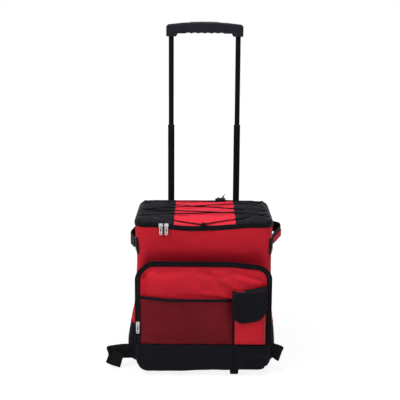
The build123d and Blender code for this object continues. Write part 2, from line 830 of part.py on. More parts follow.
def handle_bow(side, tilt, out, half_span):
    """Bowed band about the line between its sewn ends, tapered there to leave room to swing."""
    lean = radians(tilt)
    axis = (side * handle_axis_x, 0, handle_z)
    level = Plane(axis, x_dir=(side * cos(lean), 0, sin(lean)), z_dir=(-side * sin(lean), 0, cos(lean)))
    upright = Plane(axis, x_dir=level.x_dir, z_dir=(0, -side, 0))
    half_height = handle_height / 2
    with BuildPart() as bow:
        with BuildSketch(level):
            with BuildLine():
                bow_line = FilletPolyline(
                    (0, -handle_half_span), (handle_reach, -handle_crest_half),
                    (handle_reach, handle_crest_half), (0, handle_half_span),
                    radius=handle_bend,
                )
                if out:
                    offset(bow_line, amount=out, side=Side.RIGHT, closed=False, mode=Mode.REPLACE)
            trace(line_width=webbing_thick)
        extrude(amount=half_height, both=True)
        with BuildSketch(upright):
            with BuildLine():
                Polyline(
                    (0, 0), (half_height, half_height), (2 * handle_reach, half_height),
                    (2 * handle_reach, -half_height), (half_height, -half_height), (0, 0),
                )
            make_face()
        extrude(amount=half_span, both=True, mode=Mode.INTERSECT)
    return bow


for name, side in (("left", -1), ("right", 1)):
    webbing = handle_bow(side, handle_tilts[name], 0.0, handle_half_span)
    sleeve = handle_bow(side, handle_tilts[name], webbing_thick + sewn_gap, sleeve_half_span)
    with BuildPart() as side_handle:
        add(webbing.part)
        add(sleeve.part)
    write(side_handle, "side_handle_" + name)


# Loose webbing straps sewn in at the foot of the side seams
strap_width = 38.0
strap_thick = 1.6
strap_inset = 12.0
strap_y = front_y + strap_inset
corner_bulge = (body_corner**2 - (body_corner - strap_inset) ** 2) ** 0.5
left_root_x = body_width / 2 - body_corner + corner_bulge + 2 * seam_gap
right_root_x = pocket_width / 2 + seam_gap
left_strap_bottom = 23.0
left_strap_reach = 75.0
left_tail = 38.0
strap_fold = 5.0
fold_radius = 4.5
strap_sway = 3.0
sway_radius = 60.0
strap_drift = 2.0
strap_end_x = -left_root_x - left_strap_reach
strap_end_y = strap_y - strap_drift

with BuildPart() as strap_left:
    with BuildSketch(Plane.XY.offset(left_strap_bottom)):
        with BuildLine():
            FilletPolyline(
                (-left_root_x, strap_y),
                (-left_root_x - left_strap_reach / 2, strap_y + strap_sway),
                (strap_end_x, strap_end_y),
                (strap_end_x, strap_end_y - 2 * strap_fold),
                (strap_end_x + left_tail, strap_end_y - 3 * strap_fold),
                radius=[sway_radius, fold_radius, fold_radius],
            )
        trace(line_width=strap_thick)
    extrude(amount=strap_width)
write(strap_left, "strap_left")

right_strap_top = 78.0
right_strap_low = 28.0
right_strap_reach = 33.0
right_strap_droop = 3.0
right_strap_lip = 12.0
right_strap_tuck = 6.0
right_strap_slope = 2.0
shoulder_bend = 14.0
lip_bend = 6.0

with BuildPart() as strap_right:
    with BuildSketch(Plane.XZ.offset(-strap_y)):
        with BuildLine():
            FilletPolyline(
                (right_root_x, right_strap_top),
                (right_root_x + right_strap_reach / 2, right_strap_top - right_strap_droop),
                (right_root_x + right_strap_reach, right_strap_low + right_strap_lip),
                (right_root_x + right_strap_reach - right_strap_tuck, right_strap_low),
                (right_root_x, right_strap_low - right_strap_slope),
                radius=[shoulder_bend, lip_bend, lip_bend],
            )
        trace(line_width=strap_thick)
    extrude(amount=strap_width)
write(strap_right, "strap_right")


# Telescopic tubes: lower pair fixed to the bag, middle and upper pairs sliding in turn
tube_spots = [(-tube_x, tube_y), (tube_x, tube_y)]
socket_floor_thick = 8.0
tube_stop = 4.0
socket_floor = bottom_bracket_bottom + socket_floor_thick
lower_top = bracket_top - tube_stop
middle_bottom = bracket_top - middle_overlap
tube_seat = 9.0
seat_web = 1.0
upper_top = grip_bar_bottom + tube_seat - seat_web
upper_bottom = stage_step_height - upper_overlap


def tube_pair(diameter, wall, bottom, top):
    """Both tubes of one stage."""
    with BuildPart() as pair:
        with BuildSketch(Plane.XY.offset(bottom)):
            with Locations(*tube_spots):
                Circle(diameter / 2)
                Circle(diameter / 2 - wall, mode=Mode.SUBTRACT)
        extrude(amount=top - bottom)
    return pair


lower_tubes = tube_pair(lower_diameter, tube_wall, socket_floor, lower_top)
write(lower_tubes, "lower_tubes")
middle_tubes = tube_pair(middle_diameter, tube_wall, middle_bottom, stage_step_height)
write(middle_tubes, "middle_tubes")

# Guide bushes pressed over the foot of each sliding tube
bush_length = 20.0
middle_bush_wall = (lower_diameter - middle_diameter) / 2 - tube_wall - slide_clear
upper_bush_wall = (middle_diameter - upper_diameter) / 2 - tube_wall - slide_clear
middle_bushes = tube_pair(
    middle_diameter + 2 * middle_bush_wall, middle_bush_wall - fit_clear,
    middle_bottom, middle_bottom + bush_length,
)
write(middle_bushes, "middle_bushes")
upper_bushes = tube_pair(
    upper_diameter + 2 * upper_bush_wall, upper_bush_wall - fit_clear,
    upper_bottom, upper_bottom + bush_length,
)
write(upper_bushes, "upper_bushes")

# Collars plugged into the middle tubes, which guide the upper pair
collar_flange = 5.0
collar_plug = 16.0
collar_lip = 0.3
collar_round = 1.0
with BuildPart() as middle_collars:
    with BuildSketch(Plane.XY.offset(stage_step_height)):
        with Locations(*tube_spots):
            Circle(middle_diameter / 2 + collar_lip)
    extrude(amount=collar_flange)
    fillet(middle_collars.faces().group_by(Axis.Z)[-1].edges(), collar_round)
    with BuildSketch(Plane.XY.offset(stage_step_height)):
        with Locations(*tube_spots):
            Circle(middle_diameter / 2 - tube_wall)
    extrude(amount=-collar_plug)
    with BuildSketch(Plane.XY.offset(stage_step_height - collar_plug)):
        with Locations(*tube_spots):
            Circle(upper_diameter / 2 + slide_clear)
    extrude(amount=collar_plug + collar_flange, mode=Mode.SUBTRACT)
write(middle_collars, "middle_collars")

# Fabric-covered channel that hides the lower tubes
channel_wall = 2.0
channel_room = 1.5
channel_half = bracket_half + channel_room
channel_back = tube_y + lower_diameter / 2 + socket_wall + channel_wall
channel_corner = 14.0
channel_bottom = bottom_bracket_bottom + bracket_height + channel_wall
bracket_cap = 5.0
channel_top = bracket_top - bracket_cap - seam_gap

with BuildPart() as back_cover:
    with BuildSketch(Plane.XY.offset(channel_bottom)):
        with BuildLine():
            FilletPolyline(
                (-channel_half, flange_front_y), (-channel_half, channel_back),
                (channel_half, channel_back), (channel_half, flange_front_y),
                radius=channel_corner,
            )
        trace(line_width=channel_wall)
    extrude(amount=channel_top - channel_bottom)
write(back_cover, "back_cover")


# Upper tube bracket: capped sockets on a screwed flange
socket_radius = lower_diameter / 2 + socket_wall
top_socket_bottom = bracket_top - bracket_height
top_flange_bottom = top_screw_z - flange_margin
bracket_flange_half = tube_x + socket_wall

with BuildPart() as tube_top_bracket:
    with BuildSketch(Plane.XY.offset(bracket_top - bracket_cap)):
        with BuildLine():
            cap_edge = FilletPolyline(
                (-channel_half, flange_front_y), (-channel_half, channel_back),
                (channel_half, channel_back), (channel_half, flange_front_y),
                radius=channel_corner,
            )
            Line(cap_edge @ 1, cap_edge @ 0)
        make_face()
    extrude(amount=bracket_cap)
    with BuildSketch(Plane.XY.offset(top_socket_bottom)):
        with Locations(*tube_spots):
            Circle(socket_radius)
        with Locations(*[(x, (flange_front_y + tube_y) / 2) for x, y in tube_spots]):
            Rectangle(socket_wall * 2, tube_y - flange_front_y)
    extrude(amount=bracket_height - bracket_cap)
    with BuildSketch(Plane.XZ.offset(-flange_front_y)):
        with Locations((0, (top_flange_bottom + bracket_top - bracket_cap) / 2)):
            Rectangle(2 * bracket_flange_half, bracket_top - bracket_cap - top_flange_bottom)
        with Locations((-flange_screw_x, top_screw_z), (flange_screw_x, top_screw_z)):
            Circle(screw_radius + screw_clear, mode=Mode.SUBTRACT)
    extrude(amount=-flange_thick)
    with BuildSketch(Plane.XY.offset(top_socket_bottom)):
        with Locations(*tube_spots):
            Circle(lower_diameter / 2 + fit_clear)
    extrude(amount=lower_top - top_socket_bottom, mode=Mode.SUBTRACT)
    with BuildSketch(Plane.XY.offset(lower_top)):
        with Locations(*tube_spots):
            Circle(middle_diameter / 2 + slide_clear)
    extrude(amount=bracket_top - lower_top, mode=Mode.SUBTRACT)
write(tube_top_bracket, "tube_top_bracket")

# Lower tube bracket: blind sockets joined by a web, on a screwed flange
bottom_flange_top = bottom_screw_z + flange_margin
web_thick = 4.0

with BuildPart() as tube_bottom_bracket:
    with BuildSketch(Plane.XY.offset(bottom_bracket_bottom)):
        with Locations(*tube_spots):
            Circle(socket_radius)
        with Locations(*[(x, (flange_front_y + tube_y) / 2) for x, y in tube_spots]):
            Rectangle(socket_wall * 2, tube_y - flange_front_y)
        with Locations((0, tube_y)):
            Rectangle(tube_spacing, web_thick)
    extrude(amount=bracket_height)
    with BuildSketch(Plane.XZ.offset(-flange_front_y)):
        with Locations((0, (bottom_bracket_bottom + bottom_flange_top) / 2)):
            Rectangle(2 * bracket_flange_half, bottom_flange_top - bottom_bracket_bottom)
        with Locations((-flange_screw_x, bottom_screw_z), (flange_screw_x, bottom_screw_z)):
            Circle(screw_radius + screw_clear, mode=Mode.SUBTRACT)
    extrude(amount=-flange_thick)
    with BuildSketch(Plane.XY.offset(socket_floor)):
        with Locations(*tube_spots):
            Circle(lower_diameter / 2 + fit_clear)
    extrude(amount=bracket_height, mode=Mode.SUBTRACT)
write(tube_bottom_bracket, "tube_bottom_bracket")


# Wheel housings: two cheeks and an arch on a screwed flange
wheel_room = 2.0
axle_y = flange_back_y + screw_head_height + wheel_room + wheel_radius
axle_z = wheel_radius
axle_radius = 3.0
cheek_thick = 4.0
cheek_boss = 13.0
arch_clear = 3.0
arch_wall = 3.0
arch_start = 10.0
cheek_drop = 14.0

with BuildPart() as wheel_housings:
    for side in (-1, 1):
        inner_x = side * housing_x - housing_width / 2
        for cheek_x in (inner_x, inner_x + housing_width - cheek_thick):
            with BuildSketch(Plane.YZ.offset(cheek_x)):
                with BuildLine():
                    CenterArc((axle_y, axle_z), cheek_boss, 0, 360)
                    Line((flange_front_y, housing_bottom), (flange_front_y, housing_top - cheek_drop))
                make_hull()
                with Locations((axle_y, axle_z)):
                    Circle(axle_radius + pin_clear / 2, mode=Mode.SUBTRACT)
            extrude(amount=cheek_thick)
        with BuildSketch(Plane.YZ.offset(inner_x)):
            with Locations((axle_y, axle_z)):
                Circle(wheel_radius + arch_clear + arch_wall)
                Circle(wheel_radius + arch_clear, mode=Mode.SUBTRACT)
            with Locations((axle_y, axle_z - wheel_radius)):
                Rectangle(4 * wheel_radius, 2 * (wheel_radius + arch_start), mode=Mode.SUBTRACT)
            with Locations((flange_front_y - wheel_radius, axle_z)):
                Rectangle(2 * wheel_radius, 4 * wheel_radius, mode=Mode.SUBTRACT)
        extrude(amount=housing_width)
        with BuildSketch(Plane.XZ.offset(-flange_front_y)):
            with Locations((side * housing_x, (housing_bottom + housing_top) / 2)):
                Rectangle(housing_width, housing_top - housing_bottom)
            for screw_x in (-housing_screw_x, housing_screw_x):
                with Locations((side * housing_x + screw_x, housing_screw_z)):
                    Circle(screw_radius + screw_clear, mode=Mode.SUBTRACT)
        extrude(amount=-flange_thick)
write(wheel_housings, "wheel_housings")

# Riveted axles
axle_head_radius = 6.0
axle_head = 2.0
with BuildPart() as axles:
    for side in (-1, 1):
        left_end = side * housing_x - housing_width / 2
        with BuildSketch(Plane.YZ.offset(left_end)):
            with Locations((axle_y, axle_z)):
                Circle(axle_radius)
        extrude(amount=housing_width)
        with BuildSketch(Plane.YZ.offset(left_end)):
            with Locations((axle_y, axle_z)):
                Circle(axle_head_radius)
        extrude(amount=-axle_head)
        with BuildSketch(Plane.YZ.offset(left_end + housing_width)):
            with Locations((axle_y, axle_z)):
                Circle(axle_head_radius)
        extrude(amount=axle_head)
write(axles, "axles")

# Wheels: a moulded hub with a hollow web, under a rounded tyre
rim_radius = 22.0
hub_radius = 9.0
rim_wall = 2.5
rim_set = 1.0
web_half = 3.0
tyre_width = 20.0
tyre_round = 4.0
hub_hole_circle = 15.5
hub_hole_radius = 3.5
hub_holes = 6
for name, side in (("left", -1), ("right", 1)):
    wheel_plane = Plane((side * housing_x, axle_y, axle_z), x_dir=(0, 1, 0), z_dir=(1, 0, 0))
    with BuildPart() as wheel:
        with BuildSketch(wheel_plane):
            Circle(rim_radius)
            with PolarLocations(hub_hole_circle, hub_holes):
                Circle(hub_hole_radius, mode=Mode.SUBTRACT)
        extrude(amount=web_half, both=True)
        with BuildSketch(wheel_plane):
            Circle(rim_radius)
            Circle(rim_radius - rim_wall, mode=Mode.SUBTRACT)
        extrude(amount=tyre_width / 2 - rim_set, both=True)
        with BuildSketch(wheel_plane):
            Circle(hub_radius)
        extrude(amount=wheel_width / 2, both=True)
        with BuildSketch(wheel_plane):
            Circle(axle_radius + pin_clear)
        extrude(amount=wheel_width, both=True, mode=Mode.SUBTRACT)
    write(wheel, "wheel_" + name)
    with BuildPart() as tyre:
        with BuildSketch(wheel_plane):
            Circle(wheel_radius)
            Circle(rim_radius, mode=Mode.SUBTRACT)
        extrude(amount=tyre_width / 2, both=True)
        fillet(tyre.edges().filter_by(GeomType.CIRCLE).sort_by(SortBy.RADIUS)[-2:], tyre_round)
    write(tyre, "tyre_" + name)


# Screws: a pan head on a plain shank, in the feet and in the back flanges
with BuildPart() as frame_screws:
    with BuildSketch(Plane.XY.offset(foot_head_top)):
        with Locations(*foot_spots):
            Circle(screw_head_radius)
    extrude(amount=-screw_head_height)
    with BuildSketch(Plane.XY.offset(foot_head_top)):
        with Locations(*foot_spots):
            Circle(screw_radius)
    extrude(amount=screw_length)
    with BuildSketch(Plane.XZ.offset(-flange_back_y)):
        with Locations(*back_screw_spots):
            Circle(screw_head_radius)
    extrude(amount=-screw_head_height)
    with BuildSketch(Plane.XZ.offset(-flange_back_y)):
        with Locations(*back_screw_spots):
            Circle(screw_radius)
    extrude(amount=screw_length)
write(frame_screws, "frame_screws")


# Grip: one arched outline, parted into a lower and an upper shell
grip_half = grip_width / 2
socket_length = 27.0
socket_inner = grip_half - socket_length
socket_slope = 4.0
parting_height = 14.0
grip_part_z = grip_bar_bottom + parting_height
finger_count = 6
finger_pitch = 18.0
finger_depth = 2.2
finger_radius = (finger_pitch**2 / 4 + finger_depth**2) / (2 * finger_depth)
grip_shoulder = grip_top - grip_shoulder_drop
shoulder_size = 5.0
shoulder_x = grip_half - shoulder_size
shoulder_round = 3.0
socket_round = 2.0
bar_round = 3.0
crown_round = 5.0
cavity_half_y = 6.0
cavity_margin = 5.0
cavity_half_x = tube_x + cavity_margin
cavity_floor = grip_bar_bottom + tube_seat
button_travel = 4.0
bar_thick = 4.0
bar_clear = 0.5
bar_side_clear = 1.0
bar_bottom = cavity_floor + button_travel + bar_clear
cavity_top = bar_bottom + bar_thick + bar_clear
button_half_x = 40.0
button_half_y = 5.0
button_rise = 1.5
button_crown_drop = 0.3
rod_radius = 1.5
grip_screw_radius = 2.0
grip_screw_head = 3.5
grip_screw_height = 7.0
grip_screw_z = grip_bottom + grip_screw_height
grip_screw_recess = 2.5
grip_head_sink = 0.5
screw_tip_run = 0.4
grip_back_y = tube_y + grip_depth / 2
grip_screw_tip = tube_y + upper_diameter / 2 - tube_wall - screw_tip_run


def grip_block():
    """Whole outside of the grip, with finger waves under the bar."""
    half_rounds = [shoulder_round, socket_round, socket_round, bar_round]
    with BuildPart() as block:
        with BuildSketch(Plane.XZ.offset(-tube_y)):
            with BuildLine():
                crown = ThreePointArc(
                    (-shoulder_x, grip_shoulder), (0, grip_top), (shoulder_x, grip_shoulder)
                )
                FilletPolyline(
                    crown @ 1,
                    (grip_half, grip_shoulder - shoulder_size),
                    (grip_half, grip_bottom),
                    (socket_inner, grip_bottom),
                    (socket_inner - socket_slope, grip_bar_bottom),
                    (-socket_inner + socket_slope, grip_bar_bottom),
                    (-socket_inner, grip_bottom),
                    (-grip_half, grip_bottom),
                    (-grip_half, grip_shoulder - shoulder_size),
                    crown @ 0,
                    radius=half_rounds + half_rounds[::-1],
                )
            make_face()
            with GridLocations(finger_pitch, 1, finger_count, 1):
                with Locations((0, grip_bar_bottom + finger_depth - finger_radius)):
                    Circle(finger_radius, mode=Mode.SUBTRACT)
        extrude(amount=grip_depth / 2, both=True)
        crown_edges = block.edges().filter_by(GeomType.CIRCLE).sort_by(SortBy.LENGTH)[-2:]
        fillet(crown_edges, crown_round)
    return block


outside = grip_block()
with BuildPart() as grip_lower:
    add(outside.part)
    split(bisect_by=Plane.XY.offset(grip_part_z), keep=Keep.BOTTOM)
    with BuildSketch(Plane.XY.offset(cavity_floor)):
        with Locations((0, tube_y)):
            Rectangle(2 * cavity_half_x, 2 * cavity_half_y)
    extrude(amount=grip_part_z - cavity_floor, mode=Mode.SUBTRACT)
    with BuildSketch(Plane.XY.offset(grip_bottom)):
        with Locations(*tube_spots):
            Circle(upper_diameter / 2)
    extrude(amount=upper_top - grip_bottom, mode=Mode.SUBTRACT)
    with BuildSketch(Plane.XY.offset(grip_bottom)):
        with Locations(*tube_spots):
            Circle(rod_radius + 2 * slide_clear)
    extrude(amount=cavity_floor - grip_bottom, mode=Mode.SUBTRACT)
    with BuildSketch(Plane.XZ.offset(-grip_back_y)):
        with Locations((-tube_x, grip_screw_z), (tube_x, grip_screw_z)):
            Circle(grip_screw_head + screw_clear)
    extrude(amount=grip_screw_recess, mode=Mode.SUBTRACT)
    with BuildSketch(Plane.XZ.offset(-grip_back_y)):
        with Locations((-tube_x, grip_screw_z), (tube_x, grip_screw_z)):
            Circle(grip_screw_radius + screw_clear)
    extrude(amount=grip_depth / 2, mode=Mode.SUBTRACT)
write(grip_lower, "grip_lower")

with BuildPart() as grip_upper:
    add(outside.part)
    split(bisect_by=Plane.XY.offset(grip_part_z), keep=Keep.TOP)
    with BuildSketch(Plane.XY.offset(grip_part_z)):
        with Locations((0, tube_y)):
            Rectangle(2 * cavity_half_x, 2 * cavity_half_y)
    extrude(amount=cavity_top - grip_part_z, mode=Mode.SUBTRACT)
    with BuildSketch(Plane.XY.offset(grip_part_z)):
        with Locations((0, tube_y)):
            Rectangle(2 * (button_half_x + seam_gap), 2 * (button_half_y + seam_gap))
    extrude(amount=grip_top, mode=Mode.SUBTRACT)
write(grip_upper, "grip_upper")

with BuildPart() as grip_screws:
    with BuildSketch(Plane.XZ.offset(-(grip_back_y - grip_screw_recess))):
        with Locations((-tube_x, grip_screw_z), (tube_x, grip_screw_z)):
            Circle(grip_screw_head)
    extrude(amount=grip_head_sink - grip_screw_recess)
    with BuildSketch(Plane.XZ.offset(-(grip_back_y - grip_screw_recess))):
        with Locations((-tube_x, grip_screw_z), (tube_x, grip_screw_z)):
            Circle(grip_screw_radius)
    extrude(amount=grip_back_y - grip_screw_recess - grip_screw_tip)
write(grip_screws, "grip_screws")

upper_pair = tube_pair(upper_diameter, tube_wall, upper_bottom, upper_top)
with BuildPart() as upper_tubes:
    add(upper_pair.part)
    with BuildSketch(Plane.XZ.offset(-grip_back_y)):
        with Locations((-tube_x, grip_screw_z), (tube_x, grip_screw_z)):
            Circle(grip_screw_radius + screw_clear)
    extrude(amount=grip_depth / 2, mode=Mode.SUBTRACT)
write(upper_tubes, "upper_tubes")

# Release button with the bar that presses both rods
with BuildPart() as grip_button:
    with BuildSketch(Plane.XZ.offset(-tube_y)):
        with BuildLine():
            button_drop = grip_shoulder_drop * (button_half_x / shoulder_x) ** 2
            dome = ThreePointArc(
                (-button_half_x, grip_top - button_drop + button_rise),
                (0, grip_top + button_rise - button_crown_drop),
                (button_half_x, grip_top - button_drop + button_rise),
            )
            Polyline(dome @ 1, (button_half_x, bar_bottom), (-button_half_x, bar_bottom), dome @ 0)
        make_face()
    extrude(amount=button_half_y, both=True)
    with BuildSketch(Plane.XY.offset(bar_bottom)):
        with Locations((0, tube_y)):
            Rectangle(2 * (cavity_half_x - bar_side_clear), 2 * (cavity_half_y - bar_side_clear))
    extrude(amount=bar_thick)
write(grip_button, "grip_button")

rod_room = 2.0
rod_bottom = upper_bottom + button_travel + rod_room
with BuildPart() as push_rods:
    with BuildSketch(Plane.XY.offset(rod_bottom)):
        with Locations(*tube_spots):
            Circle(rod_radius)
    extrude(amount=bar_bottom - rod_bottom)
write(push_rods, "push_rods")

spring_x = 62.0
spring_outer = 3.2
spring_inner = 2.4
with BuildPart() as button_springs:
    with BuildSketch(Plane.XY.offset(cavity_floor)):
        with Locations((-spring_x, tube_y), (spring_x, tube_y)):
            Circle(spring_outer)
            Circle(spring_inner, mode=Mode.SUBTRACT)
    extrude(amount=bar_bottom - cavity_floor)
write(button_springs, "button_springs")
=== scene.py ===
"""Looks of a soft cooler bag on a wheeled trolley, in metres, in the frame of its solids."""

import json
import logging
import math
from dataclasses import dataclass
from enum import Enum
from typing import Callable, Sequence

import bmesh
import bpy
from mathutils import Matrix, Vector, geometry, noise

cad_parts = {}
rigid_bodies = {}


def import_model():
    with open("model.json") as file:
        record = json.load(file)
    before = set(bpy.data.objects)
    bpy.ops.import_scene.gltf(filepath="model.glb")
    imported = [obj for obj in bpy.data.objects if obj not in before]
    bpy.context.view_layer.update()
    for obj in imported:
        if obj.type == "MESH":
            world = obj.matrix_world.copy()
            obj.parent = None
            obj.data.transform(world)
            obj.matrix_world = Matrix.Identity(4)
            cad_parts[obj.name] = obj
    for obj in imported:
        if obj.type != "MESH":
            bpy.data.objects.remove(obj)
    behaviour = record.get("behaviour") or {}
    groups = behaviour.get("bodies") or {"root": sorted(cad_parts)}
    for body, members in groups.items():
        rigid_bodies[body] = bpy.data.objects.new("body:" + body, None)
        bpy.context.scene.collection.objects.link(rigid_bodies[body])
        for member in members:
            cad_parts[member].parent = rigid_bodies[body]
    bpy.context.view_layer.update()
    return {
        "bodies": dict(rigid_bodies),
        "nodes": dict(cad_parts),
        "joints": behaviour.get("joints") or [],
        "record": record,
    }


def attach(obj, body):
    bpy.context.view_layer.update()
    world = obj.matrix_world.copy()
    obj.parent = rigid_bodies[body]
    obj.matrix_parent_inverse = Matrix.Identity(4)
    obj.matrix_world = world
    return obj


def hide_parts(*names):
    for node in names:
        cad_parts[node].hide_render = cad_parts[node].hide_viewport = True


LOG = logging.getLogger("cooler")
MM = 0.001

CHAMFER_SHARE = 0.35
STITCH_PITCH = 4 * MM
X_AXIS = Vector((1, 0, 0))
Y_AXIS = Vector((0, 1, 0))
Z_AXIS = Vector((0, 0, 1))

Colour = tuple[float, float, float]
Path = list[Vector]


class Body(Enum):
    """Moving bodies of the frame."""

    BAG = "bag"
    LID = "lid"
    POCKET = "pocket_front"
    FLAP = "flap"
    HANDLE_LEFT = "handle_left"
    HANDLE_RIGHT = "handle_right"
    LID_TAB_LEFT = "lid_tab_left"
    LID_TAB_RIGHT = "lid_tab_right"
    POCKET_TAB = "pocket_tab"
    UPPER_STAGE = "upper_stage"


class Side(Enum):
    """Sides of the bag, with the sign of their X."""

    LEFT = -1
    RIGHT = 1


# Finishes


class Graph:
    """Node graph of one material, with short calls that add and join its nodes."""

    def __init__(self, name: str) -> None:
        """Start a material with its own shader and object coordinates.

        Args:
            name: Name of the material.
        """
        self.material = bpy.data.materials.new(name)
        self.material.use_nodes = True
        self.tree = self.material.node_tree
        self.shader = self.tree.nodes["Principled BSDF"]
        self.place = self.add("ShaderNodeTexCoord").outputs["Object"]

    def add(self, kind: str, **settings: object) -> bpy.types.Node:
        """Add a node.

        Args:
            kind: Node type.
            settings: Properties to set on it.

        Returns:
            The node.
        """
        node = self.tree.nodes.new(kind)
        for key, value in settings.items():
            setattr(node, key, value)
        return node

    def feed(self, target: bpy.types.NodeSocket, value: object) -> None:
        """Join a socket to an input, or write a plain value into it."""
        if isinstance(value, bpy.types.NodeSocket):
            self.tree.links.new(value, target)
        else:
            target.default_value = value

    def reckon(
        self, operation: str, first: object, second: object, third: object = 0.0
    ) -> bpy.types.NodeSocket:
        """Add a Math node.

        Args:
            operation: Name of the operation.
            first: First number or socket.
            second: Second number or socket.
            third: Number or socket that MULTIPLY_ADD adds.

        Returns:
            The result's socket.
        """
        node = self.add("ShaderNodeMath", operation=operation)
        for target, value in zip(node.inputs, (first, second, third)):
            self.feed(target, value)
        return node.outputs[0]

    def grain(self, scale: float, detail: float, stretch: Colour = (1.0, 1.0, 1.0)) -> bpy.types.NodeSocket:
        """Add a noise texture on the piece's own coordinates.

        Args:
            scale: Scale of the noise.
            detail: Its detail.
            stretch: Scale of the coordinates along each axis.

        Returns:
            The noise's socket, about 0.5 on average.
        """
        mapping = self.add("ShaderNodeMapping")
        mapping.inputs["Scale"].default_value = stretch
        self.feed(mapping.inputs["Vector"], self.place)
        node = self.add("ShaderNodeTexNoise")
        node.inputs["Scale"].default_value = scale
        node.inputs["Detail"].default_value = detail
        self.feed(node.inputs["Vector"], mapping.outputs["Vector"])
        return node.outputs["Fac"]

    def weave(self, pitch: float) -> bpy.types.NodeSocket:
        """Plain weave on each of the three axis planes, by the way that the surface faces.

        Args:
            pitch: Distance between two threads.

        Returns:
            Height of the weave, from -1 to 1.
        """
        turns = self.add("ShaderNodeVectorMath", operation="SCALE")
        self.feed(turns.inputs[0], self.place)
        turns.inputs["Scale"].default_value = math.pi / pitch
        waves = self.add("ShaderNodeVectorMath", operation="SINE")
        self.feed(waves.inputs[0], turns.outputs[0])
        wave = self.add("ShaderNodeSeparateXYZ")
        self.feed(wave.inputs[0], waves.outputs[0])
        facing = self.add("ShaderNodeVectorMath", operation="ABSOLUTE")
        self.feed(facing.inputs[0], self.add("ShaderNodeNewGeometry").outputs["Normal"])
        share = self.add("ShaderNodeSeparateXYZ")
        self.feed(share.inputs[0], facing.outputs[0])
        total: object = 0.0
        for axis in range(3):
            first = wave.outputs[(axis + 1) % 3]
            second = wave.outputs[(axis + 2) % 3]
            crossing = self.reckon("MULTIPLY", first, second)
            total = self.reckon("ADD", total, self.reckon("MULTIPLY", crossing, share.outputs[axis]))
        return total

    def blend(self, factor: bpy.types.NodeSocket, first: Colour, second: Colour) -> bpy.types.NodeSocket:
        """Mix two colours by a factor.

        Args:
            factor: Share of the second colour.
            first: First colour.
            second: Second colour.

        Returns:
            The mixed colour's socket.
        """
        node = self.add("ShaderNodeMix", data_type="RGBA")
        self.feed(node.inputs[0], factor)
        node.inputs[6].default_value = (*first, 1.0)
        node.inputs[7].default_value = (*second, 1.0)
        return node.outputs[2]

    def relief(
        self, height: object, depth: float, strength: float, under: object = None
    ) -> bpy.types.NodeSocket:
        """Add a bump.

        Args:
            height: Height's socket.
            depth: Depth of the relief in metres.
            strength: Strength of the bump.
            under: Normal of another bump to add to.

        Returns:
            The bumped normal's socket.
        """
        node = self.add("ShaderNodeBump")
        node.inputs["Strength"].default_value = strength
        node.inputs["Distance"].default_value = depth
        self.feed(node.inputs["Height"], height)
        if under is not None:
            self.feed(node.inputs["Normal"], under)
        return node.outputs["Normal"]

    def socket(self, name: str, value: object) -> None:
        """Write or join one of the shader's own inputs."""
        self.feed(self.shader.inputs[name], value)


@dataclass(frozen=True)
class Cloth:
    """Woven cloth with soft creases."""

    name: str
    light: Colour
    dark: Colour
    pitch: float = 1.0 * MM
    rough: float = 0.62
    gloss: float = 0.08
    crease: float = 1.6 * MM
    grain: Colour = (1.0, 1.0, 1.7)
    thread: float = 0.3 * MM
    folds: float = 0.35

    def build(self) -> bpy.types.Material:
        """Return the cloth's material."""
        graph = Graph(self.name)
        weave = graph.weave(self.pitch)
        cloud = graph.grain(9.0, 4.0)
        crumple = graph.grain(26.0, 3.0, self.grain)
        shade = graph.reckon("MULTIPLY_ADD", weave, 0.16, graph.reckon("MULTIPLY_ADD", cloud, 1.1, -0.05))
        graph.socket("Base Color", graph.blend(shade, self.dark, self.light))
        graph.socket("Roughness", graph.reckon("MULTIPLY_ADD", cloud, 0.22, self.rough - 0.11))
        soft = graph.relief(crumple, self.crease, self.folds)
        graph.socket("Normal", graph.relief(weave, self.thread, 0.45, soft))
        graph.socket("Specular IOR Level", self.gloss)
        return graph.material


@dataclass(frozen=True)
class Moulding:
    """Moulded plastic or rubber with a fine grain."""

    name: str
    light: Colour
    dark: Colour
    rough: float = 0.5
    grain: float = 900.0
    depth: float = 0.15 * MM
    gloss: float = 0.08

    def build(self) -> bpy.types.Material:
        """Return the moulding's material."""
        graph = Graph(self.name)
        cloud = graph.grain(30.0, 5.0)
        fine = graph.grain(self.grain, 2.0)
        graph.socket("Base Color", graph.blend(cloud, self.dark, self.light))
        graph.socket("Roughness", graph.reckon("MULTIPLY_ADD", cloud, 0.2, self.rough - 0.1))
        graph.socket("Normal", graph.relief(fine, self.depth, 0.4))
        graph.socket("Specular IOR Level", self.gloss)
        return graph.material


@dataclass(frozen=True)
class Metal:
    """Metal or paint on metal, with streaks along one axis."""

    name: str
    light: Colour
    dark: Colour
    metallic: float
    rough: float
    streak: Colour = (1.0, 1.0, 1.0)
    gloss: float = 0.5
    grain: float = 60.0

    def build(self) -> bpy.types.Material:
        """Return the metal's material."""
        graph = Graph(self.name)
        streaks = graph.grain(self.grain, 4.0, self.streak)
        graph.socket("Base Color", graph.blend(streaks, self.dark, self.light))
        graph.socket("Roughness", graph.reckon("MULTIPLY_ADD", streaks, 0.2, self.rough - 0.1))
        graph.socket("Metallic", self.metallic)
        graph.socket("Specular IOR Level", self.gloss)
        graph.socket("Normal", graph.relief(streaks, 0.02 * MM, 0.1))
        return graph.material


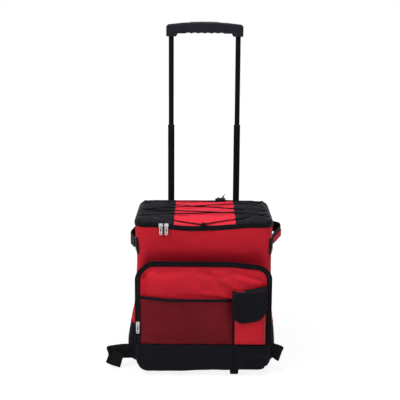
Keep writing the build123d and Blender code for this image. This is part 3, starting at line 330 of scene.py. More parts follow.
@dataclass(frozen=True)
class Foil:
    """Crumpled foil-faced sheet."""

    name: str
    light: Colour
    dark: Colour

    def build(self) -> bpy.types.Material:
        """Return the foil's material."""
        graph = Graph(self.name)
        cells = graph.add("ShaderNodeTexVoronoi", feature="F1")
        cells.inputs["Scale"].default_value = 70.0
        graph.feed(cells.inputs["Vector"], graph.place)
        crumple = graph.grain(40.0, 4.0)
        height = graph.reckon("ADD", cells.outputs["Distance"], crumple)
        graph.socket("Base Color", graph.blend(crumple, self.dark, self.light))
        graph.socket("Metallic", 0.7)
        graph.socket("Roughness", 0.38)
        graph.socket("Normal", graph.relief(height, 1.2 * MM, 0.5))
        return graph.material


class Finishes:
    """Every finish of the cooler, built once."""

    def __init__(self) -> None:
        """Build the materials."""
        self.red = Cloth("red_polyester", (0.50, 0.010, 0.024), (0.31, 0.004, 0.011), gloss=0.12).build()
        # Painted highlight: a lighter copy of the body's red for the lid's up-facing strip, lit from above.
        self.lid_red_lit = Cloth("red_lid_strip_lit", (0.68, 0.020, 0.044), (0.46, 0.010, 0.024), gloss=0.12).build()
        self.black = Cloth(
            "black_polyester", (0.0068, 0.0063, 0.0095), (0.0036, 0.0034, 0.0052), gloss=0.05
        ).build()
        self.lid_black = Cloth(
            "black_nylon", (0.0110, 0.0104, 0.0150), (0.0040, 0.0039, 0.0058),
            pitch=0.8 * MM, rough=0.55, gloss=0.05, crease=6.0 * MM, grain=(0.5, 2.0, 1.0), folds=0.7,
        ).build()
        self.webbing = Cloth(
            "black_webbing", (0.0068, 0.0065, 0.0085), (0.0032, 0.0032, 0.0044),
            pitch=1.9 * MM, thread=0.6 * MM, gloss=0.05,
        ).build()
        self.red_webbing = Cloth(
            "red_sleeve", (0.50, 0.010, 0.022), (0.35, 0.005, 0.013), pitch=1.2 * MM, thread=0.4 * MM
        ).build()
        self.tape = Cloth(
            "zip_tape", (0.0075, 0.0072, 0.0092), (0.0038, 0.0038, 0.0050), pitch=0.7 * MM, gloss=0.05
        ).build()
        self.net = Cloth("pocket_net", (0.075, 0.014, 0.018), (0.018, 0.005, 0.006), pitch=0.5 * MM).build()
        self.cord = Cloth(
            "elastic_braid", (0.006, 0.006, 0.008), (0.002, 0.002, 0.003),
            pitch=0.9 * MM, thread=0.5 * MM, gloss=0.05,
        ).build()
        self.thread = Moulding("sewing_thread", (0.026, 0.026, 0.030), (0.015, 0.015, 0.018)).build()
        self.red_thread = Moulding("red_thread", (0.42, 0.012, 0.022), (0.30, 0.008, 0.016)).build()
        # Pale pink, for the ropes down the phone pouch's two side edges.
        self.edge_rope = Moulding("pale_edge_rope", (0.34, 0.10, 0.10), (0.24, 0.06, 0.06), rough=0.55).build()
        self.chain = Moulding("zip_chain", (0.009, 0.009, 0.011), (0.004, 0.004, 0.005), rough=0.35).build()
        self.plastic = Moulding("black_plastic", (0.008, 0.008, 0.010), (0.004, 0.004, 0.006)).build()
        self.grip = Moulding("grip_plastic", (0.0105, 0.0108, 0.0155), (0.0055, 0.0056, 0.0085)).build()
        # Pale grey, for the part in the top middle of the grip.
        self.button = Moulding(
            "button_plastic", (0.24, 0.24, 0.25), (0.17, 0.17, 0.18), rough=0.45, gloss=0.25
        ).build()
        self.rubber = Moulding("black_rubber", (0.009, 0.009, 0.009), (0.004, 0.004, 0.004), 0.8).build()
        self.board = Moulding("base_board", (0.014, 0.014, 0.016), (0.008, 0.008, 0.010), rough=0.6).build()
        self.foam = Moulding(
            "white_foam", (0.75, 0.75, 0.73), (0.62, 0.62, 0.60), rough=0.9, grain=500.0
        ).build()
        self.tube = Metal(
            "black_tube", (0.0050, 0.0050, 0.0062), (0.0026, 0.0026, 0.0034), 0.0, 0.55,
            streak=(1.0, 1.0, 0.05), gloss=0.03,
        ).build()
        # Partly painted light: fine random streaks, widened from near white to dark grey so that they paint
        # reflections and shade on the zip pulls.
        self.silver = Metal(
            "plating_with_painted_light", (0.86, 0.86, 0.88), (0.16, 0.16, 0.18), 1.0, 0.3, grain=210.0
        ).build()
        self.steel = Metal("zinc_steel", (0.50, 0.50, 0.52), (0.36, 0.36, 0.38), 1.0, 0.42).build()
        self.foil = Foil("foil_liner", (0.82, 0.83, 0.84), (0.66, 0.67, 0.68)).build()


# Shaping


def smooth_step(low: float, high: float, value: float) -> float:
    """Rise smoothly from 0 at low to 1 at high."""
    share = min(1.0, max(0.0, (value - low) / (high - low)))
    return share * share * (3.0 - 2.0 * share)


def hump(centre: float, spread: float, value: float) -> float:
    """Bell curve of height 1 about a centre."""
    return math.exp(-(((value - centre) / spread) ** 2))


def crumple(point: Vector, scale: float, seed: float = 0.0) -> float:
    """Soft uneven waves, from about -1 to 1, that are the same on each run."""
    place = Vector((point.x * scale + seed, point.y * scale, point.z * scale))
    return noise.noise(place) + 0.45 * noise.noise(place * 2.3)


def rounded_path(corners: Sequence[Vector], radii: Sequence[float], steps: int = 8) -> Path:
    """Line through corners, with a round bend at each inner one.

    Args:
        corners: Points of the line.
        radii: Bend radius of each inner point.
        steps: Points on each bend.

    Returns:
        Points along the line.
    """
    path = [corners[0]]
    for before, corner, after, radius in zip(corners, corners[1:], corners[2:], radii):
        back = (before - corner).normalized()
        ahead = (after - corner).normalized()
        turn = math.pi - back.angle(ahead)
        reach = radius * math.tan(turn / 2)
        handle = radius * 4 / 3 * math.tan(turn / 4)
        start = corner + back * reach
        end = corner + ahead * reach
        path += geometry.interpolate_bezier(start, start - back * handle, end - ahead * handle, end, steps)
    path.append(corners[-1])
    return path


def even_path(path: Path, step: float) -> Path:
    """Place points at even steps along a line.

    Args:
        path: Points of the line.
        step: Wanted distance between points.

    Returns:
        Points at even distances, both ends among them.
    """
    lengths = [(ahead - behind).length for behind, ahead in zip(path, path[1:])]
    count = max(1, round(sum(lengths) / step))
    pitch = sum(lengths) / count
    points = [path[0].copy()]
    walked = 0.0
    for behind, ahead, length in zip(path, path[1:], lengths):
        while length > 0 and len(points) < count and walked + length >= pitch * len(points):
            points.append(behind.lerp(ahead, (pitch * len(points) - walked) / length))
        walked += length
    points.append(path[-1].copy())
    return points


def frames_along(path: Path, up: Vector) -> list[Matrix]:
    """Frames along a line: X to its side, Y near the up direction, Z forward.

    Args:
        path: Points of the line.
        up: Direction that Y keeps near.

    Returns:
        One frame for each point.
    """
    frames = []
    last = len(path) - 1
    for index, point in enumerate(path):
        forward = (path[min(index + 1, last)] - path[max(index - 1, 0)]).normalized()
        side = up.cross(forward).normalized()
        frame = Matrix((side, forward.cross(side), forward)).transposed().to_4x4()
        frame.translation = point
        frames.append(frame)
    return frames


def sweep(profile: Sequence[Sequence[float]], frames: Sequence[Matrix], closed: bool) -> bmesh.types.BMesh:
    """Extrude a profile from frame to frame.

    Args:
        profile: X and Y of its points in a frame.
        frames: Frames to go through.
        closed: Whether the profile is a ring, whose ends are then filled.

    Returns:
        The swept mesh, with its faces outwards.
    """
    bm = bmesh.new()
    verts = [bm.verts.new(frames[0] @ Vector((x, y, 0.0))) for x, y in profile]
    edges = [bm.edges.new(pair) for pair in zip(verts, verts[1:])]
    if closed:
        edges.append(bm.edges.new((verts[-1], verts[0])))
    for behind, ahead in zip(frames, frames[1:]):
        made = bmesh.ops.extrude_edge_only(bm, edges=edges)["geom"]
        fresh = {item for item in made if isinstance(item, bmesh.types.BMVert)}
        bmesh.ops.transform(bm, matrix=ahead @ behind.inverted(), verts=list(fresh))
        edges = [e for e in made if isinstance(e, bmesh.types.BMEdge) and fresh.issuperset(e.verts)]
    if closed:
        bmesh.ops.holes_fill(bm, edges=bm.edges[:], sides=0)
    bmesh.ops.recalc_face_normals(bm, faces=bm.faces[:])
    return bm


def band_profile(width: float, thickness: float) -> list[tuple[float, float]]:
    """Flat band's ring of points, with chamfered edges.

    Args:
        width: Width of the band, along Y.
        thickness: Its thickness, along X.

    Returns:
        The ring's points.
    """
    half_x = thickness / 2
    half_y = width / 2
    cut = thickness * CHAMFER_SHARE
    quarter = [(half_x, 0.0), (half_x, half_y - cut), (half_x - cut, half_y)]
    upper = quarter + [(-x, y) for x, y in reversed(quarter)]
    return upper + [(x, -y) for x, y in reversed(upper[1:-1])]


def round_profile(radius: float, sides: int = 8) -> list[tuple[float, float]]:
    """Ring of points of a round section."""
    turns = [2 * math.pi * side / sides for side in range(sides)]
    return [(radius * math.cos(turn), radius * math.sin(turn)) for turn in turns]


def band(line: Path, up: Vector, width: float, thickness: float) -> bmesh.types.BMesh:
    """Flat band along a line, with its width near the up direction."""
    return sweep(band_profile(width, thickness), frames_along(line, up), True)


def rope(line: Path, up: Vector, radius: float, sides: int = 8) -> bmesh.types.BMesh:
    """Round bar along a line."""
    return sweep(round_profile(radius, sides), frames_along(line, up), True)


def even_levels(low: float, high: float, rows: int) -> list[tuple[float, float]]:
    """Points of an upright profile between two heights, in even rows."""
    return [(0.0, low + (high - low) * row / rows) for row in range(rows + 1)]


def cloth_grid(width: float, height: float, cell: float) -> bmesh.types.BMesh:
    """Flat grid about the origin, in X and Y.

    Args:
        width: Size along X.
        height: Size along Y.
        cell: Size of a cell.

    Returns:
        The grid.
    """
    bm = bmesh.new()
    columns = max(1, round(width / cell))
    rows = max(1, round(height / cell))
    made = bmesh.ops.create_grid(bm, x_segments=columns, y_segments=rows, size=0.5)
    bmesh.ops.scale(bm, vec=(width, height, 1.0), verts=made["verts"])
    return bm


def round_corner(across: float, along: float, half: float, end: float, radius: float) -> tuple[float, float]:
    """Move a grid point so that the grid's corner, at half and end, is a round one.

    Args:
        across: Distance from the middle line, not negative.
        along: Distance towards the corner's end.
        half: Largest across.
        end: Largest along.
        radius: Radius of the corner.

    Returns:
        The moved point's across and along.
    """
    right = (across - half + radius) / radius
    top = (along - end + radius) / radius
    if right <= 0 or top <= 0:
        return across, along
    moved_right = right * math.sqrt(max(0.0, 1 - top * top / 2))
    moved_top = top * math.sqrt(max(0.0, 1 - right * right / 2))
    return half - radius + radius * moved_right, end - radius + radius * moved_top


def outline_walls(
    width: float, depth: float, corner: float, middle: Vector,
    levels: Sequence[tuple[float, float]], step: float,
) -> bmesh.types.BMesh:
    """Walls of a rounded box, built up level by level from its floor.

    Args:
        width: Size along X.
        depth: Size along Y.
        corner: Radius of its plan corners.
        middle: Middle of its plan.
        levels: Growth of the plan and height of each level.
        step: Distance between points on the straight runs.

    Returns:
        The open box, with a floor.
    """
    bm = bmesh.new()
    made = bmesh.ops.create_grid(bm, x_segments=1, y_segments=1, size=0.5)
    bmesh.ops.scale(bm, vec=(width, depth, 1.0), verts=made["verts"])
    bmesh.ops.bevel(
        bm, geom=bm.verts[:], offset=corner, segments=8, profile=0.5, affect="VERTICES", material=-1
    )
    for edge in bm.edges[:]:
        cuts = int(edge.calc_length() / step)
        if cuts:
            bmesh.ops.subdivide_edges(bm, edges=[edge], cuts=cuts)
    edges = bm.edges[:]
    grown = Vector((1.0, 1.0, 1.0))
    for index, (growth, height) in enumerate(levels):
        verts = list({vert for edge in edges for vert in edge.verts})
        if index:
            result = bmesh.ops.extrude_edge_only(bm, edges=edges)["geom"]
            fresh = {item for item in result if isinstance(item, bmesh.types.BMVert)}
            edges = [e for e in result if isinstance(e, bmesh.types.BMEdge) and fresh.issuperset(e.verts)]
            verts = list(fresh)
        scale = Vector(((width + 2 * growth) / width, (depth + 2 * growth) / depth, 1.0))
        bmesh.ops.scale(bm, vec=(scale.x / grown.x, scale.y / grown.y, 1.0), verts=verts)
        grown = scale
        for vert in verts:
            vert.co.z = height
    bmesh.ops.translate(bm, vec=middle, verts=bm.verts[:])
    bmesh.ops.recalc_face_normals(bm, faces=bm.faces[:])
    return bm


def shape(bm: bmesh.types.BMesh, move: Callable[[Vector], Vector]) -> bmesh.types.BMesh:
    """Move every point of a mesh by a rule, and return the mesh."""
    for vert in bm.verts:
        vert.co = move(vert.co)
    return bm


def face_towards(bm: bmesh.types.BMesh, direction: Vector) -> bmesh.types.BMesh:
    """Turn a sheet's faces so that most of them face a direction, and return the mesh."""
    bm.normal_update()
    total = sum((face.normal * face.calc_area() for face in bm.faces), Vector())
    if total.dot(direction) < 0:
        bmesh.ops.reverse_faces(bm, faces=bm.faces[:])
    return bm


def keep_faces(bm: bmesh.types.BMesh, test: Callable[[Vector], bool]) -> bmesh.types.BMesh:
    """Delete the faces whose middle fails a test, and return the mesh."""
    loose = [face for face in bm.faces if not test(face.calc_center_median())]
    bmesh.ops.delete(bm, geom=loose, context="FACES")
    return bm


def join_meshes(meshes: Sequence[bmesh.types.BMesh]) -> bmesh.types.BMesh:
    """Put several meshes into one.

    Args:
        meshes: Meshes to join, which are freed.

    Returns:
        The joined mesh.
    """
    whole = bmesh.new()
    for part in meshes:
        holder = bpy.data.meshes.new("joining")
        part.to_mesh(holder)
        part.free()
        whole.from_mesh(holder)
        bpy.data.meshes.remove(holder)
    return whole


def row_of_blocks(path: Path, up: Vector, pitch: float, size: Vector) -> bmesh.types.BMesh:
    """Small blocks set along a line, such as stitches or a zip's teeth.

    Args:
        path: Points of the line.
        up: Direction that a block's Y keeps near.
        pitch: Distance between blocks.
        size: A block's size to the side, up and along.

    Returns:
        The blocks.
    """
    bm = bmesh.new()
    for frame in frames_along(even_path(path, pitch), up):
        bmesh.ops.create_cube(bm, size=1.0, matrix=frame @ Matrix.Diagonal((*size, 1.0)))
    return bm


@dataclass
class Piece:
    """What a finished mesh is called, rides on and stands for."""

    name: str
    body: Body
    finish: bpy.types.Material
    slot: str
    replaces: tuple[str, ...] = ()
    thickness: float = 0.0
    smooth: int = 0

    def make(self, bm: bmesh.types.BMesh) -> bpy.types.Object:
        """Make the piece's object from its mesh.

        Args:
            bm: The mesh, which is freed.

        Returns:
            The object.
        """
        mesh = bpy.data.meshes.new(self.name)
        bm.to_mesh(mesh)
        bm.free()
        mesh.materials.append(self.finish)
        mesh.shade_smooth()
        piece = bpy.data.objects.new(self.name, mesh)
        bpy.context.collection.objects.link(piece)
        if self.smooth:
            rounding = piece.modifiers.new("rounding", "SUBSURF")
            rounding.levels = self.smooth
            rounding.render_levels = self.smooth
        if self.thickness:
            wall = piece.modifiers.new("wall", "SOLIDIFY")
            wall.thickness = self.thickness
            wall.offset = -1.0
        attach(piece, self.body.value)
        if self.replaces:
            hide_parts(*self.replaces)
        LOG.info("%s rides on %s", self.name, self.body.value)
        return piece


# The soft shape that the stuffed bag takes


@dataclass(frozen=True)
class SoftShape:
    """How far the stuffed bag leaves its straight walls."""

    half_width: float = 176 * MM
    front: float = -125 * MM
    back: float = 125 * MM
    rim: float = 386.4 * MM
    belly_left: float = 20 * MM
    belly_right: float = 12 * MM
    belly_height: float = 66 * MM
    belly_spread: float = 80 * MM
    waist_left: float = 4 * MM
    waist_right: float = 1 * MM
    waist_height: float = 290 * MM
    waist_spread: float = 55 * MM
    rim_sag: float = 9 * MM
    sag_middle: float = -30 * MM
    sag_left: float = 95 * MM
    sag_right: float = 150 * MM
    sag_foot: float = 280 * MM
    tuck: float = 14 * MM
    tuck_height: float = 266 * MM
    tuck_spread: float = 30 * MM
    tuck_fade: float = 40 * MM

    def swell(self, x: float, height: float) -> float:
        """Return how far the side wall on the side of X stands out at a height."""
        belly = self.belly_left if x < 0 else self.belly_right
        waist = self.waist_left if x < 0 else self.waist_right
        low = belly * hump(self.belly_height, self.belly_spread, height)
        return low - waist * hump(self.waist_height, self.waist_spread, height)

    def sag(self, point: Vector) -> float:
        """Return how far the rim hangs down at a point, most near the middle of its front."""
        across = point.x - self.sag_middle
        reach = self.sag_left if across < 0 else self.sag_right
        slack = max(0.0, 1 - (across / reach) ** 2) ** 1.3
        depth = (self.back - point.y) / (self.back - self.front)
        high = smooth_step(self.sag_foot, self.rim, point.z)
        return self.rim_sag * slack * max(0.0, depth) ** 2 * high

    def drawn(self, x: float, z: float) -> float:
        """Return how far the front wall is drawn in at a point, most just under the pocket's top."""
        middle = smooth_step(self.half_width, self.half_width - self.tuck_fade, abs(x))
        return self.tuck * hump(self.tuck_height, self.tuck_spread, z) * middle

    def warp(self, point: Vector) -> Vector:
        """Return where a point of the straight bag lies on the soft one."""
        wide = 1 + self.swell(point.x, point.z) / self.half_width
        fore = smooth_step(self.front + 45 * MM, self.front + 15 * MM, point.y)
        back = self.drawn(point.x, point.z) * fore
        return Vector((point.x * wide, point.y + back, point.z - self.sag(point)))


SOFT = SoftShape()


@dataclass(frozen=True)
class Fold:
    """Soft fold of a panel along a straight line, in X and the panel's other axis."""

    start: tuple[float, float]
    end: tuple[float, float]
    width: float
    depth: float

    def push(self, x: float, other: float) -> float:
        """Return how far the fold moves the cloth outwards at a point."""
        start = Vector(self.start)
        run = Vector(self.end) - start
        place = Vector((x, other)) - start
        share = min(1.0, max(0.0, place.dot(run) / run.length_squared))
        distance = (place - run * share).length
        return self.depth * MM * math.exp(-((distance / (self.width * MM)) ** 2))


# The insulated body


@dataclass
class InsulatedBody:
    """Red cover, black skirt, foam and foil liner."""

    width: float = 352 * MM
    depth: float = 250 * MM
    corner: float = 28 * MM
    floor: float = 18 * MM
    skirt_top: float = 122 * MM
    rim: float = 386.4 * MM
    fabric: float = 1.5 * MM
    foam_wall: float = 8 * MM
    crease: float = 1.6 * MM
    cell: float = 7 * MM

    def levels(self, low: float, high: float) -> list[tuple[float, float]]:
        """Return even levels between two heights, with no growth."""
        return even_levels(low, high, round((high - low) / self.cell))

    def creased(self, point: Vector) -> Vector:
        """Return a point of the cover with its soft shape and creases."""
        moved = SOFT.warp(point)
        free = smooth_step(self.rim, self.rim - 40 * MM, point.z) * smooth_step(0.11, 0.05, point.y)
        level = Vector((point.x, point.y, point.z * 1.8))
        depth = self.crease * crumple(level, 11.0) * free
        outward = Vector((math.copysign(1.0, point.x) * smooth_step(0.14, 0.176, abs(point.x)), 0.0, 0.0))
        outward.y = -smooth_step(-0.09, -0.125, point.y)
        return moved + outward * depth

    def cover(self, finishes: Finishes) -> None:
        """Sew the red cover, its seam stitches and the black skirt."""
        walls = outline_walls(
            self.width, self.depth, self.corner, Vector(), self.levels(self.skirt_top, self.rim), self.cell
        )
        keep_faces(walls, lambda middle: middle.z > self.skirt_top + 0.1 * MM)
        shape(walls, self.creased)
        Piece("body_cover", Body.BAG, finishes.red, "red_fabric", ("outer_cover",), 1.3 * MM, 1).make(walls)
        round_foot = [
            (-8 * MM, 18 * MM), (-5.4 * MM, 18.6 * MM), (-2.4 * MM, 20.4 * MM), (-0.6 * MM, 23.4 * MM),
        ]
        skirt = outline_walls(
            self.width, self.depth, self.corner, Vector(),
            round_foot + self.levels(26 * MM, self.skirt_top + 0.4 * MM), self.cell,
        )
        shape(skirt, self.creased)
        foot = Piece("body_skirt", Body.BAG, finishes.black, "black_fabric", ("base_skirt",), 1.3 * MM, 1)
        foot.make(skirt)
        self.seam(finishes)

    def seam(self, finishes: Finishes) -> None:
        """Lay a turned seam and its stitches where the cover meets the skirt."""
        half_x = self.width / 2
        corners = [
            Vector((-half_x + 60 * MM, self.depth / 2, 0.0)),
            Vector((-half_x, self.depth / 2, 0.0)),
            Vector((-half_x, -self.depth / 2, 0.0)),
            Vector((half_x, -self.depth / 2, 0.0)),
            Vector((half_x, self.depth / 2, 0.0)),
            Vector((half_x - 60 * MM, self.depth / 2, 0.0)),
        ]
        line = even_path(rounded_path(corners, [self.corner] * 4), 6 * MM)
        seam = [self.creased(Vector((p.x, p.y, self.skirt_top))) for p in line]
        roll = band(seam, Z_AXIS, 4 * MM, 1.6 * MM)
        Piece("body_seam", Body.BAG, finishes.black, "black_fabric").make(roll)
        above = [self.creased(Vector((p.x, p.y, self.skirt_top + 5 * MM))) for p in line]
        stitches = row_of_blocks(above, Z_AXIS, STITCH_PITCH, Vector((0.7, 0.5, 2.6)) * MM)
        Piece("body_seam_stitches", Body.BAG, finishes.red_thread, "red_fabric").make(stitches)

    def inside(self, finishes: Finishes) -> None:
        """Line the bag with foam and foil."""
        inset = self.fabric + 0.6 * MM
        back_gap = 4.3 * MM
        middle = Vector((0.0, -back_gap / 2, 0.0))
        foam_width = self.width - 2 * inset
        foam_depth = self.depth - 2 * inset - back_gap
        foam_corner = self.corner - inset
        outer = outline_walls(
            foam_width, foam_depth, foam_corner, middle,
            [(-7 * MM, 20.2 * MM), (-2 * MM, 22 * MM)] + self.levels(28 * MM, self.rim - 3 * MM), 14 * MM,
        )
        shape(outer, SOFT.warp)
        pad = Piece("foam_tub", Body.BAG, finishes.foam, "foam", ("foam_insulation",), self.foam_wall)
        pad.make(outer)
        liner_inset = self.foam_wall + 0.6 * MM
        liner = outline_walls(
            foam_width - 2 * liner_inset, foam_depth - 2 * liner_inset, foam_corner - liner_inset, middle,
            self.levels(29.2 * MM, self.rim - 1.6 * MM) + [(self.foam_wall, self.rim - 0.8 * MM)], 12 * MM,
        )
        bmesh.ops.reverse_faces(liner, faces=liner.faces[:])
        shape(liner, lambda p: SOFT.warp(p) + Vector((0.5, 0.5, 0.0)) * MM * crumple(p, 60.0))
        Piece("foil_tub", Body.BAG, finishes.foil, "liner", ("inner_liner",), 0.6 * MM, 1).make(liner)

    def build(self, finishes: Finishes) -> None:
        """Make the body's pieces."""
        self.cover(finishes)
        self.inside(finishes)


# The lid with its zip


@dataclass
class Lid:
    """Padded lid: black sides, red middle strip, zip and fabric hinge."""

    width: float = 352 * MM
    depth: float = 250 * MM
    corner: float = 28 * MM
    back_corner: float = 36 * MM
    bottom: float = 387 * MM
    top: float = 399 * MM
    edge_round: float = 3.5 * MM
    front_round: float = 8 * MM
    puff: float = 4.4 * MM
    gather: float = 3.4 * MM
    press: float = 3.5 * MM
    groove: float = 8 * MM
    strip_left: float = -76 * MM
    strip_right: float = 81 * MM
    cell: float = 4 * MM
    tape: float = 6.2 * MM
    zip_end: float = 97 * MM
    pitch: float = 2.6 * MM
    hinge_half: float = 138 * MM
    hinge_drop: float = 11.5 * MM
    strands: tuple[Fold, ...] = ()

    def height(self, x: float, y: float, edge: float) -> float:
        """Return the lid's height at a point.

        Args:
            x: X of the point.
            y: Y of the point.
            edge: Its distance from the lid's edge.

        Returns:
            Height above the floor.
        """
        drop = 0.0
        fore = smooth_step(-self.depth / 2 + 40 * MM, -self.depth / 2, y)
        bend = self.edge_round + (self.front_round - self.edge_round) * fore
        if edge < bend:
            drop = bend - math.sqrt(max(0.0, bend**2 - (bend - edge) ** 2))
        free = smooth_step(0.0, 26 * MM, edge)
        pinch = max(strand.push(x, y) for strand in self.strands)
        gather = crumple(Vector((x * 0.5, y * 1.9, 0.0)), 36.0, 3.0) * smooth_step(0.03, 0.12, abs(x))
        hollow = 3.4 * crumple(Vector((x * 0.7, y * 1.3, 0.0)), 27.0, 8.0) * MM
        swell = self.puff * (1 - pinch) * (1 + 0.9 * gather)
        press = self.press * pinch * smooth_step(-0.085, -0.115, y)
        pleat = 1.7 * crumple(Vector((x * 0.35, y * 3.2, 0.0)), 30.0, 5.0) * smooth_step(0.085, 0.11, abs(x))
        slack = max(-1.5 * MM, hollow) + self.gather * max(0.0, -gather) + pleat * MM
        return self.top - drop - press + free * (swell - slack)

    def top_grid(self) -> bmesh.types.BMesh:
        """Return the lid's top and turned-down sides, cut along the strip's edges."""
        bm = cloth_grid(self.width, self.depth, self.cell)
        half_x = self.width / 2
        half_y = self.depth / 2
        for vert in bm.verts:
            edge = min(half_x - abs(vert.co.x), half_y - abs(vert.co.y))
            corner = self.corner if vert.co.y < 0 else self.back_corner
            x, y = round_corner(abs(vert.co.x), abs(vert.co.y), half_x, half_y, corner)
            vert.co = Vector((math.copysign(x, vert.co.x), math.copysign(y, vert.co.y), 0.0))
            vert.co.z = self.height(vert.co.x, vert.co.y, max(0.0, edge))
        rim = [edge for edge in bm.edges if edge.is_boundary]
        made = bmesh.ops.extrude_edge_only(bm, edges=rim)["geom"]
        for vert in (item for item in made if isinstance(item, bmesh.types.BMVert)):
            vert.co.z = self.bottom
        for x in (self.strip_left, self.strip_right):
            whole = bm.verts[:] + bm.edges[:] + bm.faces[:]
            bmesh.ops.bisect_plane(bm, geom=whole, dist=1e-6, plane_co=(x, 0, 0), plane_no=(1, 0, 0))
        shape(bm, SOFT.warp)
        return face_towards(bm, Z_AXIS)

    def top_point(self, x: float, y: float, lift: float) -> Vector:
        """Return the point of the soft top at X and Y, lifted a little."""
        edge = min(self.width / 2 - abs(x), self.depth / 2 - abs(y))
        return SOFT.warp(Vector((x, y, self.height(x, y, edge)))) + Vector((0, 0, lift))

    def on_strip(self, x: float) -> bool:
        """Return whether X is on the red strip."""
        return self.strip_left < x < self.strip_right

    def cover(self, finishes: Finishes) -> None:
        """Make the black sides, the red strip and the stitches beside it."""
        sides = keep_faces(self.top_grid(), lambda middle: not self.on_strip(middle.x))
        Piece("lid_sides", Body.LID, finishes.lid_black, "black_fabric", ("lid_cover",), 1.2 * MM).make(sides)
        strip = keep_faces(self.top_grid(), lambda middle: self.on_strip(middle.x))
        # The strip's lighter red is painted highlight.
        red = finishes.lid_red_lit
        Piece("lid_strip", Body.LID, red, "red_fabric", ("lid_centre_strip",), 1.2 * MM).make(strip)
        rows = []
        for x in (self.strip_left - 2.5 * MM, self.strip_right + 2.5 * MM):
            rows.append([self.top_point(x, step * MM, 0.1 * MM) for step in range(-114, 115, 6)])
        stitches = join_meshes([
            row_of_blocks(row, Z_AXIS, STITCH_PITCH, Vector((0.5, 0.5, 2.6)) * MM) for row in rows
        ])
        Piece("lid_stitches", Body.LID, finishes.thread, "black_fabric").make(stitches)

    def under_sheet(self, lift: float) -> bmesh.types.BMesh:
        """Return a sheet across the lid's underside, facing down.

        Args:
            lift: Height of the sheet above the lid's lower edge.

        Returns:
            The sheet's mesh.
        """
        inset = 3 * MM
        sheet = cloth_grid(self.width - 2 * inset, self.depth - 2 * inset, 9 * MM)
        half_x = self.width / 2 - inset
        half_y = self.depth / 2 - inset
        for vert in sheet.verts:
            x, y = round_corner(abs(vert.co.x), abs(vert.co.y), half_x, half_y, self.back_corner)
            vert.co = Vector((math.copysign(x, vert.co.x), math.copysign(y, vert.co.y), self.bottom))
            vert.co.z += lift + 0.4 * MM * crumple(vert.co, 50.0)
        shape(sheet, SOFT.warp)
        return face_towards(sheet, -Z_AXIS)

    def pad(self, finishes: Finishes) -> None:
        """Fill the lid with foam over a foil sheet."""
        foam = self.under_sheet(1.5 * MM)
        pad = Piece("lid_pad", Body.LID, finishes.foam, "foam", ("lid_foam",), 3.6 * MM).make(foam)
        foil = self.under_sheet(0.3 * MM)
        Piece("lid_foil", Body.LID, finishes.foil, "liner", ("lid_liner",), 0.5 * MM).make(foil)

    def rim_line(self, reach: float, height: float) -> Path:
        """Return the line round the front and sides at a height, a little outside the walls."""
        half_x = self.width / 2 + reach
        half_y = self.depth / 2 + reach
        corners = [
            Vector((-half_x, self.zip_end, height)),
            Vector((-half_x, -half_y, height)),
            Vector((half_x, -half_y, height)),
            Vector((half_x, self.zip_end, height)),
        ]
        return rounded_path(corners, [self.corner + reach] * 2, 12)

    def zip_half(self, name: str, body: Body, node: str, low: float, bead: float, finishes: Finishes) -> None:
        """Make one half of the zip: its tape, its coil and a row of stitches.

        Args:
            name: Name of the tape's piece.
            body: Body that it rides on.
            node: Node that it stands for.
            low: Height of the tape's lower edge.
            bead: Height of the coil's middle.
            finishes: The finishes.
        """
        up = Z_AXIS
        line = [SOFT.warp(p) for p in even_path(self.rim_line(0.7 * MM, low + self.tape / 2), 5 * MM)]
        tape = band(line, up, self.tape, 1.1 * MM)
        Piece(name, body, finishes.tape, "zip_tape", (node,)).make(tape)
        chain = [SOFT.warp(p) for p in even_path(self.rim_line(1.5 * MM, bead), 3 * MM)]
        teeth = row_of_blocks(chain, up, self.pitch, Vector((1.5, 2.4, 1.4)) * MM)
        Piece(name + "_coil", body, finishes.chain, "zip_tape").make(teeth)
        far = low + (self.tape - 1.2 * MM if bead < low + self.tape / 2 else 1.2 * MM)
        sewn = [SOFT.warp(p) for p in even_path(self.rim_line(1.3 * MM, far), 5 * MM)]
        stitches = row_of_blocks(sewn, up, STITCH_PITCH, Vector((0.4, 0.4, 2.4)) * MM)
        Piece(name + "_stitches", body, finishes.thread, "zip_tape").make(stitches)

    def hinge(self, finishes: Finishes) -> None:
        """Make the fabric hinge along the back, with the cord in its fold."""
        half = self.hinge_half
        level = self.top - self.hinge_drop
        ends = [Vector((-half, 125.9 * MM, level)), Vector((half, 125.9 * MM, level))]
        strip = band(even_path(ends, 10 * MM), Z_AXIS, 22.5 * MM, 1.1 * MM)
        Piece("hinge_strip", Body.BAG, finishes.black, "black_fabric", ("lid_hinge_strip",)).make(strip)
        fold = [Vector((-half, 125.15 * MM, self.top)), Vector((half, 125.15 * MM, self.top))]
        cord = rope(even_path(fold, 10 * MM), Z_AXIS, 1.2 * MM)
        Piece("hinge_cord", Body.BAG, finishes.black, "black_fabric").make(cord)
        low = level - 8.5 * MM
        sewn = [Vector((-half, 126.6 * MM, low)), Vector((half, 126.6 * MM, low))]
        stitches = row_of_blocks(sewn, Z_AXIS, STITCH_PITCH, Vector((0.4, 0.5, 2.6)) * MM)
        Piece("hinge_stitches", Body.BAG, finishes.thread, "black_fabric").make(stitches)

    def build(self, finishes: Finishes) -> None:
        """Make the lid's pieces."""
        self.cover(finishes)
        self.pad(finishes)
        rim = self.bottom - 0.6 * MM
        self.zip_half("rim_zip", Body.BAG, "lid_zip_lower", rim - self.tape, rim - 1.0 * MM, finishes)
        lid = self.bottom
        self.zip_half("lid_zip", Body.LID, "lid_zip_upper", lid + 0.1 * MM, lid + 1.0 * MM, finishes)
        self.hinge(finishes)


